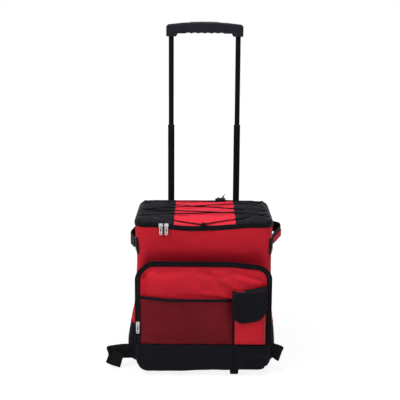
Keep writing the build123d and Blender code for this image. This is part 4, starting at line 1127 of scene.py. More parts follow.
@dataclass
class BungeeLacing:
    """Elastic cord laced through webbing loops on the lid."""

    radius: float = 1.5 * MM
    low: float = 400.9 * MM
    high: float = 404.3 * MM
    loop_x: float = 160 * MM
    front: float = -125 * MM
    stations: tuple[float, ...] = (50 * MM, 108 * MM, 210 * MM)
    front_station: float = 10 * MM
    tuck: float = 10 * MM
    dip: float = 6 * MM
    half_turn: float = 5 * MM
    lock_x: float = 48 * MM
    lock_z: float = 405.1 * MM
    lock_exit: float = 238.5 * MM
    lock_entry: float = 217 * MM
    tail_end: float = 244 * MM
    tail_rise: float = 3 * MM
    tail_spread: float = 5 * MM

    def half_route(self, side: Side, height: float, lock_height: float) -> Path:
        """Return one half of the cord's points, from its tail to the front loop.

        Args:
            side: Side that the half first goes to.
            height: Height of its strands.
            lock_height: Height at which it goes through the lock.

        Returns:
            The points.
        """
        sign = side.value
        line = self.front
        tail_x = self.lock_x + sign * self.tail_spread
        points = [
            Vector((tail_x, line + self.tail_end, lock_height + self.tail_rise)),
            Vector((self.lock_x, line + self.lock_exit, lock_height)),
            Vector((self.lock_x, line + self.lock_entry, lock_height)),
        ]
        for turn, station in enumerate(reversed(self.stations)):
            across = sign * self.loop_x * (-1) ** turn
            points.append(Vector((across, line + station + self.half_turn, height)))
            points.append(Vector((across, line + station - self.half_turn, height)))
        points.append(Vector((sign * self.half_turn, line + self.front_station, height)))
        return points

    def route(self) -> Path:
        """Return the whole cord's points, from tail to tail."""
        step = (self.high - self.low) / 2
        left = self.half_route(Side.LEFT, self.low, self.lock_z - step)
        right = self.half_route(Side.RIGHT, self.high, self.lock_z + step)
        return [self.settle(point) for point in left + right[::-1]]

    def settle(self, point: Vector) -> Vector:
        """Return a point lowered with the sagging lid, and drawn over the lid's edge at the front."""
        over = smooth_step(self.front + 25 * MM, self.front + self.front_station, point.y)
        low = SOFT.sag(Vector((point.x, point.y, SOFT.rim)))
        return point - Vector((0.0, over * self.tuck, low + over * self.dip))

    def strands(self, width: float) -> tuple[Fold, ...]:
        """Return the lines on which the cord presses the lid.

        Args:
            width: Half width of the groove that it presses.

        Returns:
            One fold of unit depth for each straight run.
        """
        points = self.route()
        pairs = [(a, b) for a, b in zip(points, points[1:]) if (a - b).length > 30 * MM]
        return tuple(Fold(a.xy.to_tuple(), b.xy.to_tuple(), width / MM, 1 / MM) for a, b in pairs)

    def cord(self, finishes: Finishes) -> None:
        """Lay the cord as one smooth line through its loops, with knotted tails and a loose end."""
        route = self.route()
        curve = bpy.data.curves.new("bungee", "CURVE")
        curve.dimensions = "3D"
        curve.bevel_depth = self.radius
        curve.bevel_resolution = 3
        curve.resolution_u = 8
        curve.use_fill_caps = True
        spline = curve.splines.new("NURBS")
        spline.points.add(len(route) - 1)
        for knot, point in zip(spline.points, route):
            knot.co = (*point, 1.0)
        spline.order_u = 3
        spline.use_endpoint_u = True
        curve.materials.append(finishes.cord)
        cord = bpy.data.objects.new("bungee", curve)
        bpy.context.collection.objects.link(cord)
        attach(cord, Body.LID.value)
        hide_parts("bungee_cord")
        LOG.info("bungee rides on lid")
        knots = []
        for tail, inner in ((route[0], route[1]), (route[-1], route[-2])):
            outward = (tail - inner).normalized()
            line = [tail + outward * reach * MM for reach in (-0.5, 0.4, 1.4, 2.6, 3.8, 4.6)]
            frames = frames_along(line, X_AXIS)
            swell = (1.3, 2.5, 3.0, 2.9, 2.4, 1.2)
            turned = [
                frame @ Matrix.Diagonal((size, size, 1.0, 1.0)) for frame, size in zip(frames, swell)
            ]
            knots.append(sweep(round_profile(MM, 10), turned, True))
        end = [route[-1] + Vector(step) * MM for step in ((0, 1, 0), (1.5, 2, 3), (4, 2, 6), (7, 2, 8.5))]
        knots.append(rope(even_path(end, 1.5 * MM), Y_AXIS, 1.1 * MM))
        Piece("bungee_knots", Body.LID, finishes.cord, "cord", smooth=1).make(join_meshes(knots))

    def loop(self, seat: Vector, half: Vector, foot: float, rise: Vector, width: float) -> bmesh.types.BMesh:
        """Return one webbing loop that stands on the lid.

        Args:
            seat: Middle of its foot.
            half: Way from its middle to one leg.
            foot: Length of the foot that each leg turns out.
            rise: Way from its foot to its top.
            width: Width of its webbing.

        Returns:
            The loop.
        """
        low = seat + rise.normalized() * 0.7 * MM
        turned = half + half.normalized() * foot
        corners = [
            low - turned, low - half, seat - half + rise, seat + half + rise, low + half, low + turned,
        ]
        round_top = half.length - 0.2 * MM
        line = even_path(rounded_path(corners, [1 * MM, round_top, round_top, 1 * MM]), 1.2 * MM)
        return band(line, half.cross(rise), width, 1.2 * MM)

    def loops(self, finishes: Finishes) -> None:
        """Sew the side loops and the front loop to the lid."""
        half = Vector((5.4, 0, 0)) * MM
        rise = Vector((0, 0, 8.2)) * MM
        top = 398.6 * MM
        seats = [
            Vector((side.value * self.loop_x, self.front + station, top))
            for side in Side for station in self.stations
        ]
        made = [self.loop(seat, half, 6 * MM, rise, 6.4 * MM) for seat in seats]
        edge = self.settle(Vector((0.0, self.front + self.front_station, top))) + Vector((0, 1.6, 0.8)) * MM
        steep = Vector((0, 3.6, 2.4)) * MM
        made.append(self.loop(edge, steep, 1.5 * MM, Vector((0, -4.0, 6.0)) * MM, 11 * MM))
        loops = Piece("cord_loops", Body.LID, finishes.webbing, "webbing", ("bungee_loops",))
        loops.make(join_meshes(made))

    def build(self, finishes: Finishes) -> None:
        """Make the lacing's pieces."""
        self.cord(finishes)
        self.loops(finishes)


# The front pocket


@dataclass
class FrontPocket:
    """Zipped pocket: black tray and gusset, arched zip and red face."""

    half: float = 172 * MM
    top: float = 303 * MM
    arch: float = 38 * MM
    slump: float = 9 * MM
    left_slump: float = 12 * MM
    tray_low: float = 18 * MM
    tray_top: float = 85.2 * MM
    front: float = -175 * MM
    back: float = -125.3 * MM
    seam_x: float = 79 * MM
    tape_y: float = -173.2 * MM
    face_inset: float = 8.4 * MM
    face_y: float = -172.4 * MM
    face_puff: float = 7.5 * MM
    pitch: float = 2.6 * MM
    folds: tuple[Fold, ...] = (
        Fold((-0.149, 0.275), (-0.147, 0.210), 5.0, -4.5),
        Fold((-0.138, 0.268), (-0.136, 0.214), 8.0, 2.6),
        Fold((-0.128, 0.280), (-0.152, 0.266), 5.0, -4.0),
        Fold((-0.115, 0.272), (-0.060, 0.278), 6.0, -2.2),
        Fold((0.012, 0.270), (0.072, 0.216), 7.0, -4.0),
        Fold((-0.010, 0.276), (0.050, 0.262), 6.0, -3.0),
        Fold((0.030, 0.272), (0.095, 0.230), 9.0, 2.8),
        Fold((0.075, 0.276), (0.135, 0.262), 5.0, -4.6),
        Fold((0.095, 0.262), (0.145, 0.250), 8.0, 2.6),
        Fold((0.140, 0.266), (0.155, 0.242), 6.0, -3.4),
        Fold((-0.060, 0.216), (0.040, 0.211), 6.0, -3.0),
        Fold((0.000, 0.222), (0.070, 0.214), 5.0, 3.0),
        Fold((-0.110, 0.242), (-0.020, 0.230), 16.0, 2.2),
    )

    def arch_line(self, inset: float, y: float, low: float) -> Path:
        """Return the pocket's arch at an inset, from its left foot over the top to its right foot."""
        half = self.half - inset
        top = self.top - inset
        corners = [
            Vector((-half, y, low)), Vector((-half, y, top)), Vector((half, y, top)), Vector((half, y, low)),
        ]
        line = even_path(rounded_path(corners, [self.arch - inset] * 2, 12), 3 * MM)
        return [point - Vector((0, 0, self.droop(point.x, point.z))) for point in line]

    def droop(self, x: float, z: float) -> float:
        """Return how far the arch hangs down at a point, most over its corners."""
        right = self.slump * smooth_step(0.05, 0.165, x)
        left = self.left_slump * smooth_step(-0.126, -0.168, x)
        return (right + left) * smooth_step(0.19, self.top, z)

    def tray_point(self, point: Vector) -> Vector:
        """Return a point of the tray with its sagging foot and the fold at its right."""
        x, z = point.x, point.z
        half = self.half
        depth = self.tray_top - z
        radius = 32 * MM if x < 0 else 22 * MM
        across, along = round_corner(abs(x), depth, half, self.tray_top - self.tray_low, radius)
        moved = Vector((math.copysign(across, x), point.y, self.tray_top - along))
        low = smooth_step(self.tray_top, self.tray_low, z)
        moved.z += 7 * MM * smooth_step(0.07, 0.15, x) * low - 3.5 * MM * smooth_step(0.03, -0.08, x) * low
        arc = math.hypot(x - 0.136, (z - 0.016) * 1.2)
        facing = smooth_step(-0.165, -0.174, point.y)
        moved.y -= facing * 4.5 * MM * hump(0.040, 0.007, arc) * smooth_step(0.012, 0.03, z)
        moved.y += facing * 3.0 * MM * hump(0.026, 0.010, arc)
        moved.y -= facing * 1.6 * MM * crumple(Vector((x * 1.3, 0.0, z)), 26.0, 7.0)
        moved.y -= facing * 3.0 * MM * hump(0.052, 0.03, z) * smooth_step(0.172, 0.12, abs(x))
        return moved

    def tray(self, finishes: Finishes) -> None:
        """Make the black tray at the pocket's foot."""
        corners = [
            Vector((-self.half, self.back, 0.0)), Vector((-self.half, self.front, 0.0)),
            Vector((self.half, self.front, 0.0)), Vector((self.half, self.back, 0.0)),
        ]
        plan = even_path(rounded_path(corners, [7 * MM, 7 * MM], 8), 4 * MM)
        rows = 18
        profile = even_levels(self.tray_low, self.tray_top, rows)
        walls = sweep(profile, frames_along(plan, Z_AXIS), False)
        shape(walls, self.tray_point)
        face_towards(walls, -Y_AXIS)
        tray = Piece("pocket_tray", Body.BAG, finishes.black, "black_fabric", ("pocket_base",), 1.3 * MM, 1)
        tray.make(walls)
        heights = [height for _, height in even_levels(self.tray_top, self.tray_low, rows)]
        proud = Vector((0, 0.9 * MM, 0))
        seam = [self.tray_point(Vector((self.seam_x, self.front, z))) - proud for z in heights]
        bound = band(seam, Y_AXIS, 1.4 * MM, 4 * MM)
        Piece("tray_seam", Body.BAG, finishes.webbing, "black_fabric").make(bound)
        floor = cloth_grid(2 * self.half, self.back - self.front, 8 * MM)
        middle = (self.back + self.front) / 2
        bmesh.ops.translate(floor, vec=(0.0, middle, self.tray_low), verts=floor.verts[:])
        shape(floor, lambda p: self.tray_point(p) + Vector((0, 0, 0.4 * MM)))
        face_towards(floor, -Z_AXIS)
        Piece("pocket_floor", Body.BAG, finishes.black, "black_fabric", thickness=1.2 * MM).make(floor)

    def gusset(self, finishes: Finishes) -> None:
        """Make the band between the zip and the body, which dips towards the body."""
        line = even_path(self.arch_line(0.7 * MM, 0.0, self.tray_top + 0.2 * MM), 5 * MM)
        depth = self.back - self.tape_y
        gusset = sweep(even_levels(self.tape_y, self.back, 9), frames_along(line, Y_AXIS), False)

        def dip(point: Vector) -> Vector:
            """Return a point of the band, lower near the body and a little slack."""
            share = (point.y - self.tape_y) / depth
            high = smooth_step(self.top - 53 * MM, self.top - 3 * MM, point.z)
            slack = 1.2 * MM * crumple(point, 30.0, 11.0) * math.sin(math.pi * min(1.0, max(0.0, share)))
            inner = share * SOFT.drawn(point.x, point.z)
            return point + Vector((math.copysign(slack, point.x), inner, slack - 15 * MM * high * share))

        shape(gusset, dip)
        bmesh.ops.recalc_face_normals(gusset, faces=gusset.faces[:])
        node = ("pocket_gusset",)
        Piece("pocket_gusset_band", Body.BAG, finishes.black, "black_fabric", node, 1.1 * MM).make(gusset)
        edge = even_path(self.arch_line(0.6 * MM, self.tape_y - 0.4 * MM, self.tray_top + 0.2 * MM), 4 * MM)
        edge_rope = rope(edge, Y_AXIS, 1.5 * MM)
        Piece("pocket_piping", Body.BAG, finishes.black, "black_fabric").make(edge_rope)

    def zip_half(self, name: str, body: Body, node: str, near: float, far: float, finishes: Finishes) -> None:
        """Make one half of the pocket's zip.

        Args:
            name: Name of the tape's piece.
            body: Body that it rides on.
            node: Node that it stands for.
            near: Inset of the tape's edge at the coil.
            far: Inset of its other edge.
            finishes: The finishes.
        """
        facing = Y_AXIS
        low = self.tray_top + 0.6 * MM
        line = even_path(self.arch_line((near + far) / 2, self.tape_y, low), 4 * MM)
        tape = band(line, facing, 1.1 * MM, abs(far - near))
        Piece(name, body, finishes.tape, "zip_tape", (node,)).make(tape)
        inward = math.copysign(0.9 * MM, far - near)
        chain = even_path(self.arch_line(near + inward, self.tape_y - 1.1 * MM, low), 3 * MM)
        teeth = row_of_blocks(chain, facing, self.pitch, Vector((2.4, 1.5, 1.4)) * MM)
        Piece(name + "_coil", body, finishes.chain, "zip_tape").make(teeth)
        sewn = even_path(self.arch_line(far - inward * 1.2, self.tape_y - 0.7 * MM, low), 5 * MM)
        stitches = row_of_blocks(sewn, facing, STITCH_PITCH, Vector((0.4, 0.4, 2.4)) * MM)
        Piece(name + "_stitches", body, finishes.thread, "zip_tape").make(stitches)

    def face_push(self, x: float, z: float) -> float:
        """Return how far the red face stands out at a point."""
        half = self.half - self.face_inset
        edge = min(half - abs(x), self.top - self.face_inset - z)
        puff = self.face_puff * smooth_step(0.0, 46 * MM, edge) * smooth_step(0.18, 0.24, z)
        wrinkle = 1.3 * MM * crumple(Vector((x, 0.0, z)), 17.0, 5.0) * smooth_step(0.0, 14 * MM, edge)
        return puff + wrinkle + sum(fold.push(x, z) for fold in self.folds) * smooth_step(0.0, 6 * MM, edge)

    def face(self, finishes: Finishes) -> None:
        """Make the red face with its folds, inside the zip."""
        half = self.half - self.face_inset
        low = self.tray_top + 0.6 * MM
        high = self.top - self.face_inset
        bm = cloth_grid(2 * half, high - low, 3.6 * MM)
        for vert in bm.verts:
            z = vert.co.y + (low + high) / 2
            x, z = round_corner(abs(vert.co.x), z, half, high, self.arch - self.face_inset)
            x = math.copysign(x, vert.co.x)
            vert.co = Vector((x, self.face_y - self.face_push(x, z), z - self.droop(x, z)))
        face_towards(bm, -Y_AXIS)
        Piece("pocket_face", Body.POCKET, finishes.red, "red_fabric", ("front_panel",), 3.2 * MM, 1).make(bm)

    def build(self, finishes: Finishes) -> None:
        """Make the pocket's pieces."""
        self.tray(finishes)
        self.gusset(finishes)
        self.zip_half("gusset_zip", Body.BAG, "pocket_zip_fixed", 6.0 * MM, 0.0, finishes)
        self.zip_half("face_zip", Body.POCKET, "pocket_zip_panel", 6.6 * MM, 12.6 * MM, finishes)
        self.face(finishes)


@dataclass
class MeshPocket:
    """Net pocket on the red face, with a bound top edge."""

    left: float = -163.4 * MM
    right: float = 76 * MM
    low: float = 86.4 * MM
    top: float = 205 * MM
    base_y: float = -173.6 * MM
    slack: float = 6.5 * MM
    cell: float = 2.5 * MM
    strand: float = 0.3 * MM
    binding: float = 7.6 * MM
    lift: float = 7 * MM
    folds: tuple[Fold, ...] = (
        Fold((-0.055, 0.190), (-0.005, 0.110), 9.0, -2.4),
        Fold((-0.120, 0.195), (-0.100, 0.120), 10.0, 1.6),
        Fold((0.000, 0.190), (0.035, 0.130), 10.0, 1.5),
        Fold((-0.150, 0.110), (-0.060, 0.095), 8.0, -1.5),
    )

    def edge_lift(self, x: float) -> float:
        """Return how much higher the top edge is at X than at its middle."""
        return smooth_step(-0.075, self.left, x) * self.lift

    def surface(self, x: float, share: float) -> Vector:
        """Return a point of the net.

        Args:
            x: X of the point.
            share: Its share of the height, 0 at the foot and 1 at the top edge.

        Returns:
            The point.
        """
        z = self.low + (self.top + self.edge_lift(x) - self.low) * share
        side = min(x - self.left, self.right - x)
        out = self.slack * smooth_step(0.0, 18 * MM, side) * smooth_step(-0.02, 0.35, share)
        out += sum(fold.push(x, z) for fold in self.folds) * smooth_step(0.0, 20 * MM, side)
        return Vector((x, self.base_y - max(0.2 * MM, out), z))

    def build(self, finishes: Finishes) -> None:
        """Make the net, its binding and its side seams."""
        width = self.right - self.left
        height = self.top - self.low
        net = cloth_grid(width, height, self.cell)
        cells = net.faces[:]
        bmesh.ops.inset_individual(net, faces=cells, thickness=self.strand, use_even_offset=True)
        bmesh.ops.delete(net, geom=cells, context="FACES")
        middle = (self.left + self.right) / 2
        shape(net, lambda p: self.surface(p.x + middle, p.y / height + 0.5))
        face_towards(net, -Y_AXIS)
        Piece("pocket_net", Body.POCKET, finishes.net, "mesh_fabric", ("mesh_pocket",), 0.35 * MM).make(net)
        xs = [self.left + width * step / 60 for step in range(61)]
        edge = [self.surface(x, 1.0) - Vector((0, 0.3 * MM, self.binding / 2 - 3 * MM)) for x in xs]
        bound = band(edge, Z_AXIS, self.binding, 2.2 * MM)
        Piece("net_binding", Body.POCKET, finishes.webbing, "black_fabric", smooth=1).make(bound)
        seams = (("left", self.left + 1 * MM, 4 * MM), ("right", self.right + 0.6 * MM, 4.5 * MM))
        for name, x, wide in seams:
            line = [self.surface(x, share / 20) - Vector((0, 0.6 * MM, 0)) for share in range(21)]
            seam = band(line, Y_AXIS, 1.4 * MM, wide)
            Piece("net_seam_" + name, Body.POCKET, finishes.black, "black_fabric").make(seam)


@dataclass
class PhonePocket:
    """Red pouch under a black flap that closes with hook and loop."""

    left: float = 78.5 * MM
    right: float = 159 * MM
    low: float = 86.4 * MM
    top: float = 232 * MM
    base_y: float = -172.7 * MM
    depth: float = 18 * MM
    flap_left: float = 72 * MM
    flap_right: float = 160.5 * MM
    flap_top: float = 234.6 * MM
    flap_front: float = -195.6 * MM
    skew: float = 13 * MM
    patch_x: float = 119.5 * MM
    patch_z: float = 171 * MM
    cell: float = 3 * MM

    def pouch_out(self, x: float, z: float) -> float:
        """Return how far the pouch stands out from the red face at a point."""
        across = abs(2 * (x - self.left) / (self.right - self.left) - 1)
        low = min(1.0, max(0.0, (z - self.low) / (26 * MM)))
        round_side = (1 - min(1.0, across) ** 5) ** 0.4
        round_foot = (1 - (1 - low) ** 3) ** 0.5
        return self.depth * round_side * round_foot

    def pouch(self, finishes: Finishes) -> None:
        """Make the pouch with pale pink ropes down its side edges, and its loop patch."""
        width = self.right - self.left
        height = self.top - self.low
        bm = cloth_grid(width, height, self.cell)

        def stand_out(point: Vector) -> Vector:
            """Return a grid point on the pouch's front."""
            x = point.x + (self.left + self.right) / 2
            z = point.y + (self.low + self.top) / 2
            ripple = 0.7 * MM * crumple(Vector((x, 0, z)), 30.0, 2.0)
            out = self.pouch_out(x, z)
            return Vector((x, self.base_y - out - ripple * min(1.0, out / (8 * MM)), z))

        shape(bm, stand_out)
        face_towards(bm, -Y_AXIS)
        Piece("phone_pouch", Body.POCKET, finishes.red, "red_fabric", ("phone_pocket",), 1.2 * MM, 1).make(bm)
        pale_ropes = []
        for inset in (4.0, -4.0):
            x = (self.left if inset > 0 else self.right) + inset * MM
            zs = [self.low + 2 * MM + (height - 4 * MM) * step / 24 for step in range(25)]
            line = [Vector((x, self.base_y - self.pouch_out(x, z) - 0.5 * MM, z)) for z in zs]
            pale_ropes.append(rope(line, X_AXIS, 0.7 * MM, 6))
        Piece("pouch_edge_rope", Body.POCKET, finishes.edge_rope, "red_fabric").make(join_meshes(pale_ropes))
        patch = cloth_grid(44 * MM, 20 * MM, 4 * MM)
        bmesh.ops.translate(patch, vec=(self.patch_x, self.patch_z, 0), verts=patch.verts[:])
        shape(patch, lambda p: Vector((p.x, self.base_y - self.pouch_out(p.x, p.y) - 1.3 * MM, p.y)))
        face_towards(patch, -Y_AXIS)
        Piece("pouch_loop_patch", Body.POCKET, finishes.webbing, "webbing", thickness=0.7 * MM).make(patch)

    def flap_point(self, x: float, run: float) -> Vector:
        """Return a point of the flap.

        Args:
            x: X of the point.
            run: Distance along the flap from its hinge.

        Returns:
            The point.
        """
        back = -172.9 * MM
        reach = back - self.flap_front
        bend = 9 * MM
        level = reach - bend
        arc = bend * math.pi / 2
        if run < level:
            y, z = back - run, self.flap_top
        elif run < level + arc:
            turn = (run - level) / bend
            y = back - level - bend * math.sin(turn)
            z = self.flap_top - bend * (1 - math.cos(turn))
        else:
            y = self.flap_front
            z = self.flap_top - bend - (run - level - arc)
        share = (x - self.flap_left) / (self.flap_right - self.flap_left)
        slack = smooth_step(level, level + 40 * MM, run)
        y += 1.5 * MM * slack * crumple(Vector((x, 0.0, z)), 22.0, 9.0)
        y += 1.6 * MM * slack * math.cos(math.pi * (2 * share - 1))
        return Vector((x, y, z + self.skew * (share - 0.5)))

    def flap(self, finishes: Finishes) -> None:
        """Make the flap, its hook patch and its stitches."""
        width = self.flap_right - self.flap_left
        length = 102 * MM
        bm = cloth_grid(width, length, self.cell)
        middle = (self.flap_left + self.flap_right) / 2
        corner = 30 * MM

        def lay(point: Vector) -> Vector:
            """Return a grid point on the flap, with its lower corners round."""
            run = length / 2 - point.y
            x, run = round_corner(abs(point.x), run, width / 2, length, corner)
            bow = 4 * MM * (1 - (2 * x / width) ** 2) * smooth_step(length * 0.6, length, run)
            tight = 4 * MM * smooth_step(0, length, run)
            return self.flap_point(middle + math.copysign(x, point.x), run + bow - tight)

        shape(bm, lay)
        face_towards(bm, -Y_AXIS)
        Piece("pouch_flap", Body.FLAP, finishes.black, "black_fabric", ("phone_flap",), 1.8 * MM, 1).make(bm)
        patch = cloth_grid(44 * MM, 18 * MM, 4 * MM)
        bmesh.ops.translate(patch, vec=(self.patch_x, self.patch_z, 0), verts=patch.verts[:])
        shape(patch, lambda p: Vector((p.x, self.flap_front + 2.4 * MM, p.y)))
        face_towards(patch, Y_AXIS)
        Piece("flap_hook_patch", Body.FLAP, finishes.webbing, "webbing", thickness=0.6 * MM).make(patch)
        rows = []
        for inset in (4 * MM, width - 4 * MM):
            runs = [12 * MM + 66 * MM * step / 30 for step in range(31)]
            sewn = [self.flap_point(self.flap_left + inset, run) for run in runs]
            rows.append([point - Vector((0, 0.3 * MM, 0)) for point in sewn])
        stitches = join_meshes([
            row_of_blocks(row, Y_AXIS, 3.6 * MM, Vector((0.5, 0.5, 2.2)) * MM) for row in rows
        ])
        Piece("flap_stitches", Body.FLAP, finishes.thread, "black_fabric").make(stitches)

    def build(self, finishes: Finishes) -> None:
        """Make the phone pocket's pieces."""
        self.pouch(finishes)
        self.flap(finishes)


# Carry handles and straps


@dataclass
class SideHandle:
    """Bowed webbing handle with a red sleeve, sewn to the side of the bag."""

    side: Side
    body: Body
    tilt: float
    reach: float
    root_z: float
    height: float
    sleeve_near: float
    sleeve_height: float
    sleeve_drop: float
    root_x: float
    half_span: float
    sleeve_far: float = 66 * MM
    crest_half: float = 17 * MM
    bend: float = 26 * MM

    def bow(self, out: float, drop: float, near: float, far: float) -> list[Matrix]:
        """Return frames along the bow, for the stretch between two distances from its middle.

        Args:
            out: Distance outside the webbing's middle line.
            drop: Distance below it.
            near: Y where the stretch starts.
            far: Y where it ends.

        Returns:
            The frames.
        """
        lean = math.radians(self.tilt)
        away = Vector((self.side.value * math.cos(lean), 0.0, math.sin(lean)))
        root = Vector((self.side.value * self.root_x, 0.0, self.root_z - drop))
        plan = [
            (0.0, -self.half_span), (self.reach, -self.crest_half),
            (self.reach, self.crest_half), (0.0, self.half_span),
        ]
        corners = [root + away * (x + out) + Vector((0, y, 0)) for x, y in plan]
        line = even_path(rounded_path(corners, [self.bend] * 2, 10), 4 * MM)
        kept = [point for point in line if near <= point.y <= far]
        narrow = []
        for frame, point in zip(frames_along(kept, Z_AXIS), kept):
            end = (self.half_span - abs(point.y)) / (12 * MM)
            size = min(1.0, 0.7 + 0.3 * max(0.0, end))
            narrow.append(frame @ Matrix.Diagonal((1.0, size, 1.0, 1.0)))
        return narrow

    def build(self, finishes: Finishes) -> None:
        """Make the webbing and its sleeve."""
        name = self.side.name.lower()
        whole = self.bow(0.0, 0.0, -self.half_span, self.half_span)
        webbing = sweep(band_profile(self.height, 1.9 * MM), whole, True)
        node = "side_handle_" + name
        Piece("handle_webbing_" + name, self.body, finishes.webbing, "webbing", (node,)).make(webbing)
        covered = self.bow(2.0 * MM, self.sleeve_drop, self.sleeve_near, self.sleeve_far)
        sleeve = sweep(band_profile(self.sleeve_height, 1.6 * MM), covered, True)
        Piece("handle_sleeve_" + name, self.body, finishes.red_webbing, "red_fabric").make(sleeve)


@dataclass
class HandleTabs:
    """Sewn webbing patches that hold the ends of both side handles."""

    x: float = 177.8 * MM
    ys: tuple[float, ...] = (-86.5 * MM, 86.5 * MM)
    z: float = 329 * MM
    length: float = 25 * MM
    height: float = 43 * MM
    wrap: float = 20 * MM
    corner: float = 28 * MM
    straight: float = -97 * MM

    def on_wall(self, point: Vector) -> Vector:
        """Return a patch's point laid round the bag's front corner, on its soft wall."""
        turn = max(0.0, self.straight - point.y) / self.corner
        middle = SOFT.half_width - self.corner
        out = abs(point.x) - middle
        across = middle + out * math.cos(turn)
        y = max(point.y, self.straight) - out * math.sin(turn)
        return SOFT.warp(Vector((math.copysign(across, point.x), y, point.z)))

    def build(self, finishes: Finishes) -> None:
        """Make the four patches and their stitches."""
        patches = []
        rows = []
        for side in Side:
            for y in self.ys:
                wrap = self.wrap if y < 0 else 0.0
                middle = Vector((side.value * self.x, y - wrap / 2, self.z))
                ends = [middle - Vector((0, 0, self.height / 2)), middle + Vector((0, 0, self.height / 2))]
                inner = Vector((side.value * 2.5 * MM, 0, 0))
                line = [ends[0] - inner, middle, ends[1] - inner]
                patch = band(even_path(line, 4 * MM), Y_AXIS, self.length + wrap, 2.6 * MM)
                long_edges = [edge for edge in patch.edges if edge.calc_length() > 8 * MM]
                bmesh.ops.subdivide_edges(patch, edges=long_edges, cuts=6)
                patches.append(shape(patch, self.on_wall))
                sewn = self.box_stitch(middle + Vector((side.value * 1.4 * MM, wrap / 2, 0)))
                rows += [[self.on_wall(spot) for spot in row] for row in sewn]
        tabs = Piece("handle_patches", Body.BAG, finishes.webbing, "webbing", ("handle_tabs",))
        tabs.make(join_meshes(patches))
        stitches = [
            row_of_blocks(row, X_AXIS, 3 * MM, Vector((0.5, 0.6, 2.0)) * MM) for row in rows
        ]
        Piece("handle_patch_stitches", Body.BAG, finishes.thread, "webbing").make(join_meshes(stitches))

    def box_stitch(self, middle: Vector) -> list[Path]:
        """Return the sides and diagonals of a sewn box about a point."""
        half_y = self.length / 2 - 4 * MM
        half_z = self.height / 2 - 5 * MM
        turns = ((-1, -1), (1, -1), (1, 1), (-1, 1))
        spots = [middle + Vector((0, y * half_y, z * half_z)) for y, z in turns]
        sides = [[spots[index], spots[(index + 1) % 4]] for index in range(4)]
        return sides + [[spots[0], spots[2]], [spots[1], spots[3]]]


@dataclass
class LooseStraps:
    """Webbing straps that hang from the foot of the side seams."""

    width: float = 38 * MM
    thickness: float = 1.5 * MM

    def left(self, finishes: Finishes) -> None:
        """Make the left strap, which reaches out and folds back on itself."""
        corners = [
            Vector((-165, -113, 44)) * MM,
            Vector((-185, -111, 44)) * MM,
            Vector((-210, -110, 43)) * MM,
            Vector((-230, -113, 41)) * MM,
            Vector((-246.5, -115, 39)) * MM,
            Vector((-247, -124, 34)) * MM,
            Vector((-232, -126, 28)) * MM,
            Vector((-211, -128, 22.5)) * MM,
        ]
        radii = [40 * MM, 60 * MM, 60 * MM, 4.2 * MM, 4.2 * MM, 40 * MM]
        line = even_path(rounded_path(corners, radii), 3 * MM)
        strap = band(line, Vector((0.0, 0.12, 1.0)), self.width, self.thickness)
        Piece("loose_strap_left", Body.BAG, finishes.webbing, "webbing", ("strap_left",)).make(strap)

    def right(self, finishes: Finishes) -> None:
        """Make the right strap, a drooping bight whose ends go into the seam."""
        corners = [
            Vector((166, -141, 60)) * MM,
            Vector((180, -142, 60)) * MM,
            Vector((190, -142, 56)) * MM,
            Vector((202, -141, 47)) * MM,
            Vector((203, -126, 46)) * MM,
            Vector((190, -122, 50)) * MM,
            Vector((166, -120, 54)) * MM,
        ]
        line = even_path(rounded_path(corners, [20 * MM, 20 * MM, 6 * MM, 6 * MM, 20 * MM]), 3 * MM)
        strap = band(line, Vector((0.3, 0, 1)), self.width, self.thickness)
        Piece("loose_strap_right", Body.BAG, finishes.webbing, "webbing", ("strap_right",)).make(strap)

    def build(self, finishes: Finishes) -> None:
        """Make both straps."""
        self.left(finishes)
        self.right(finishes)


# The trolley


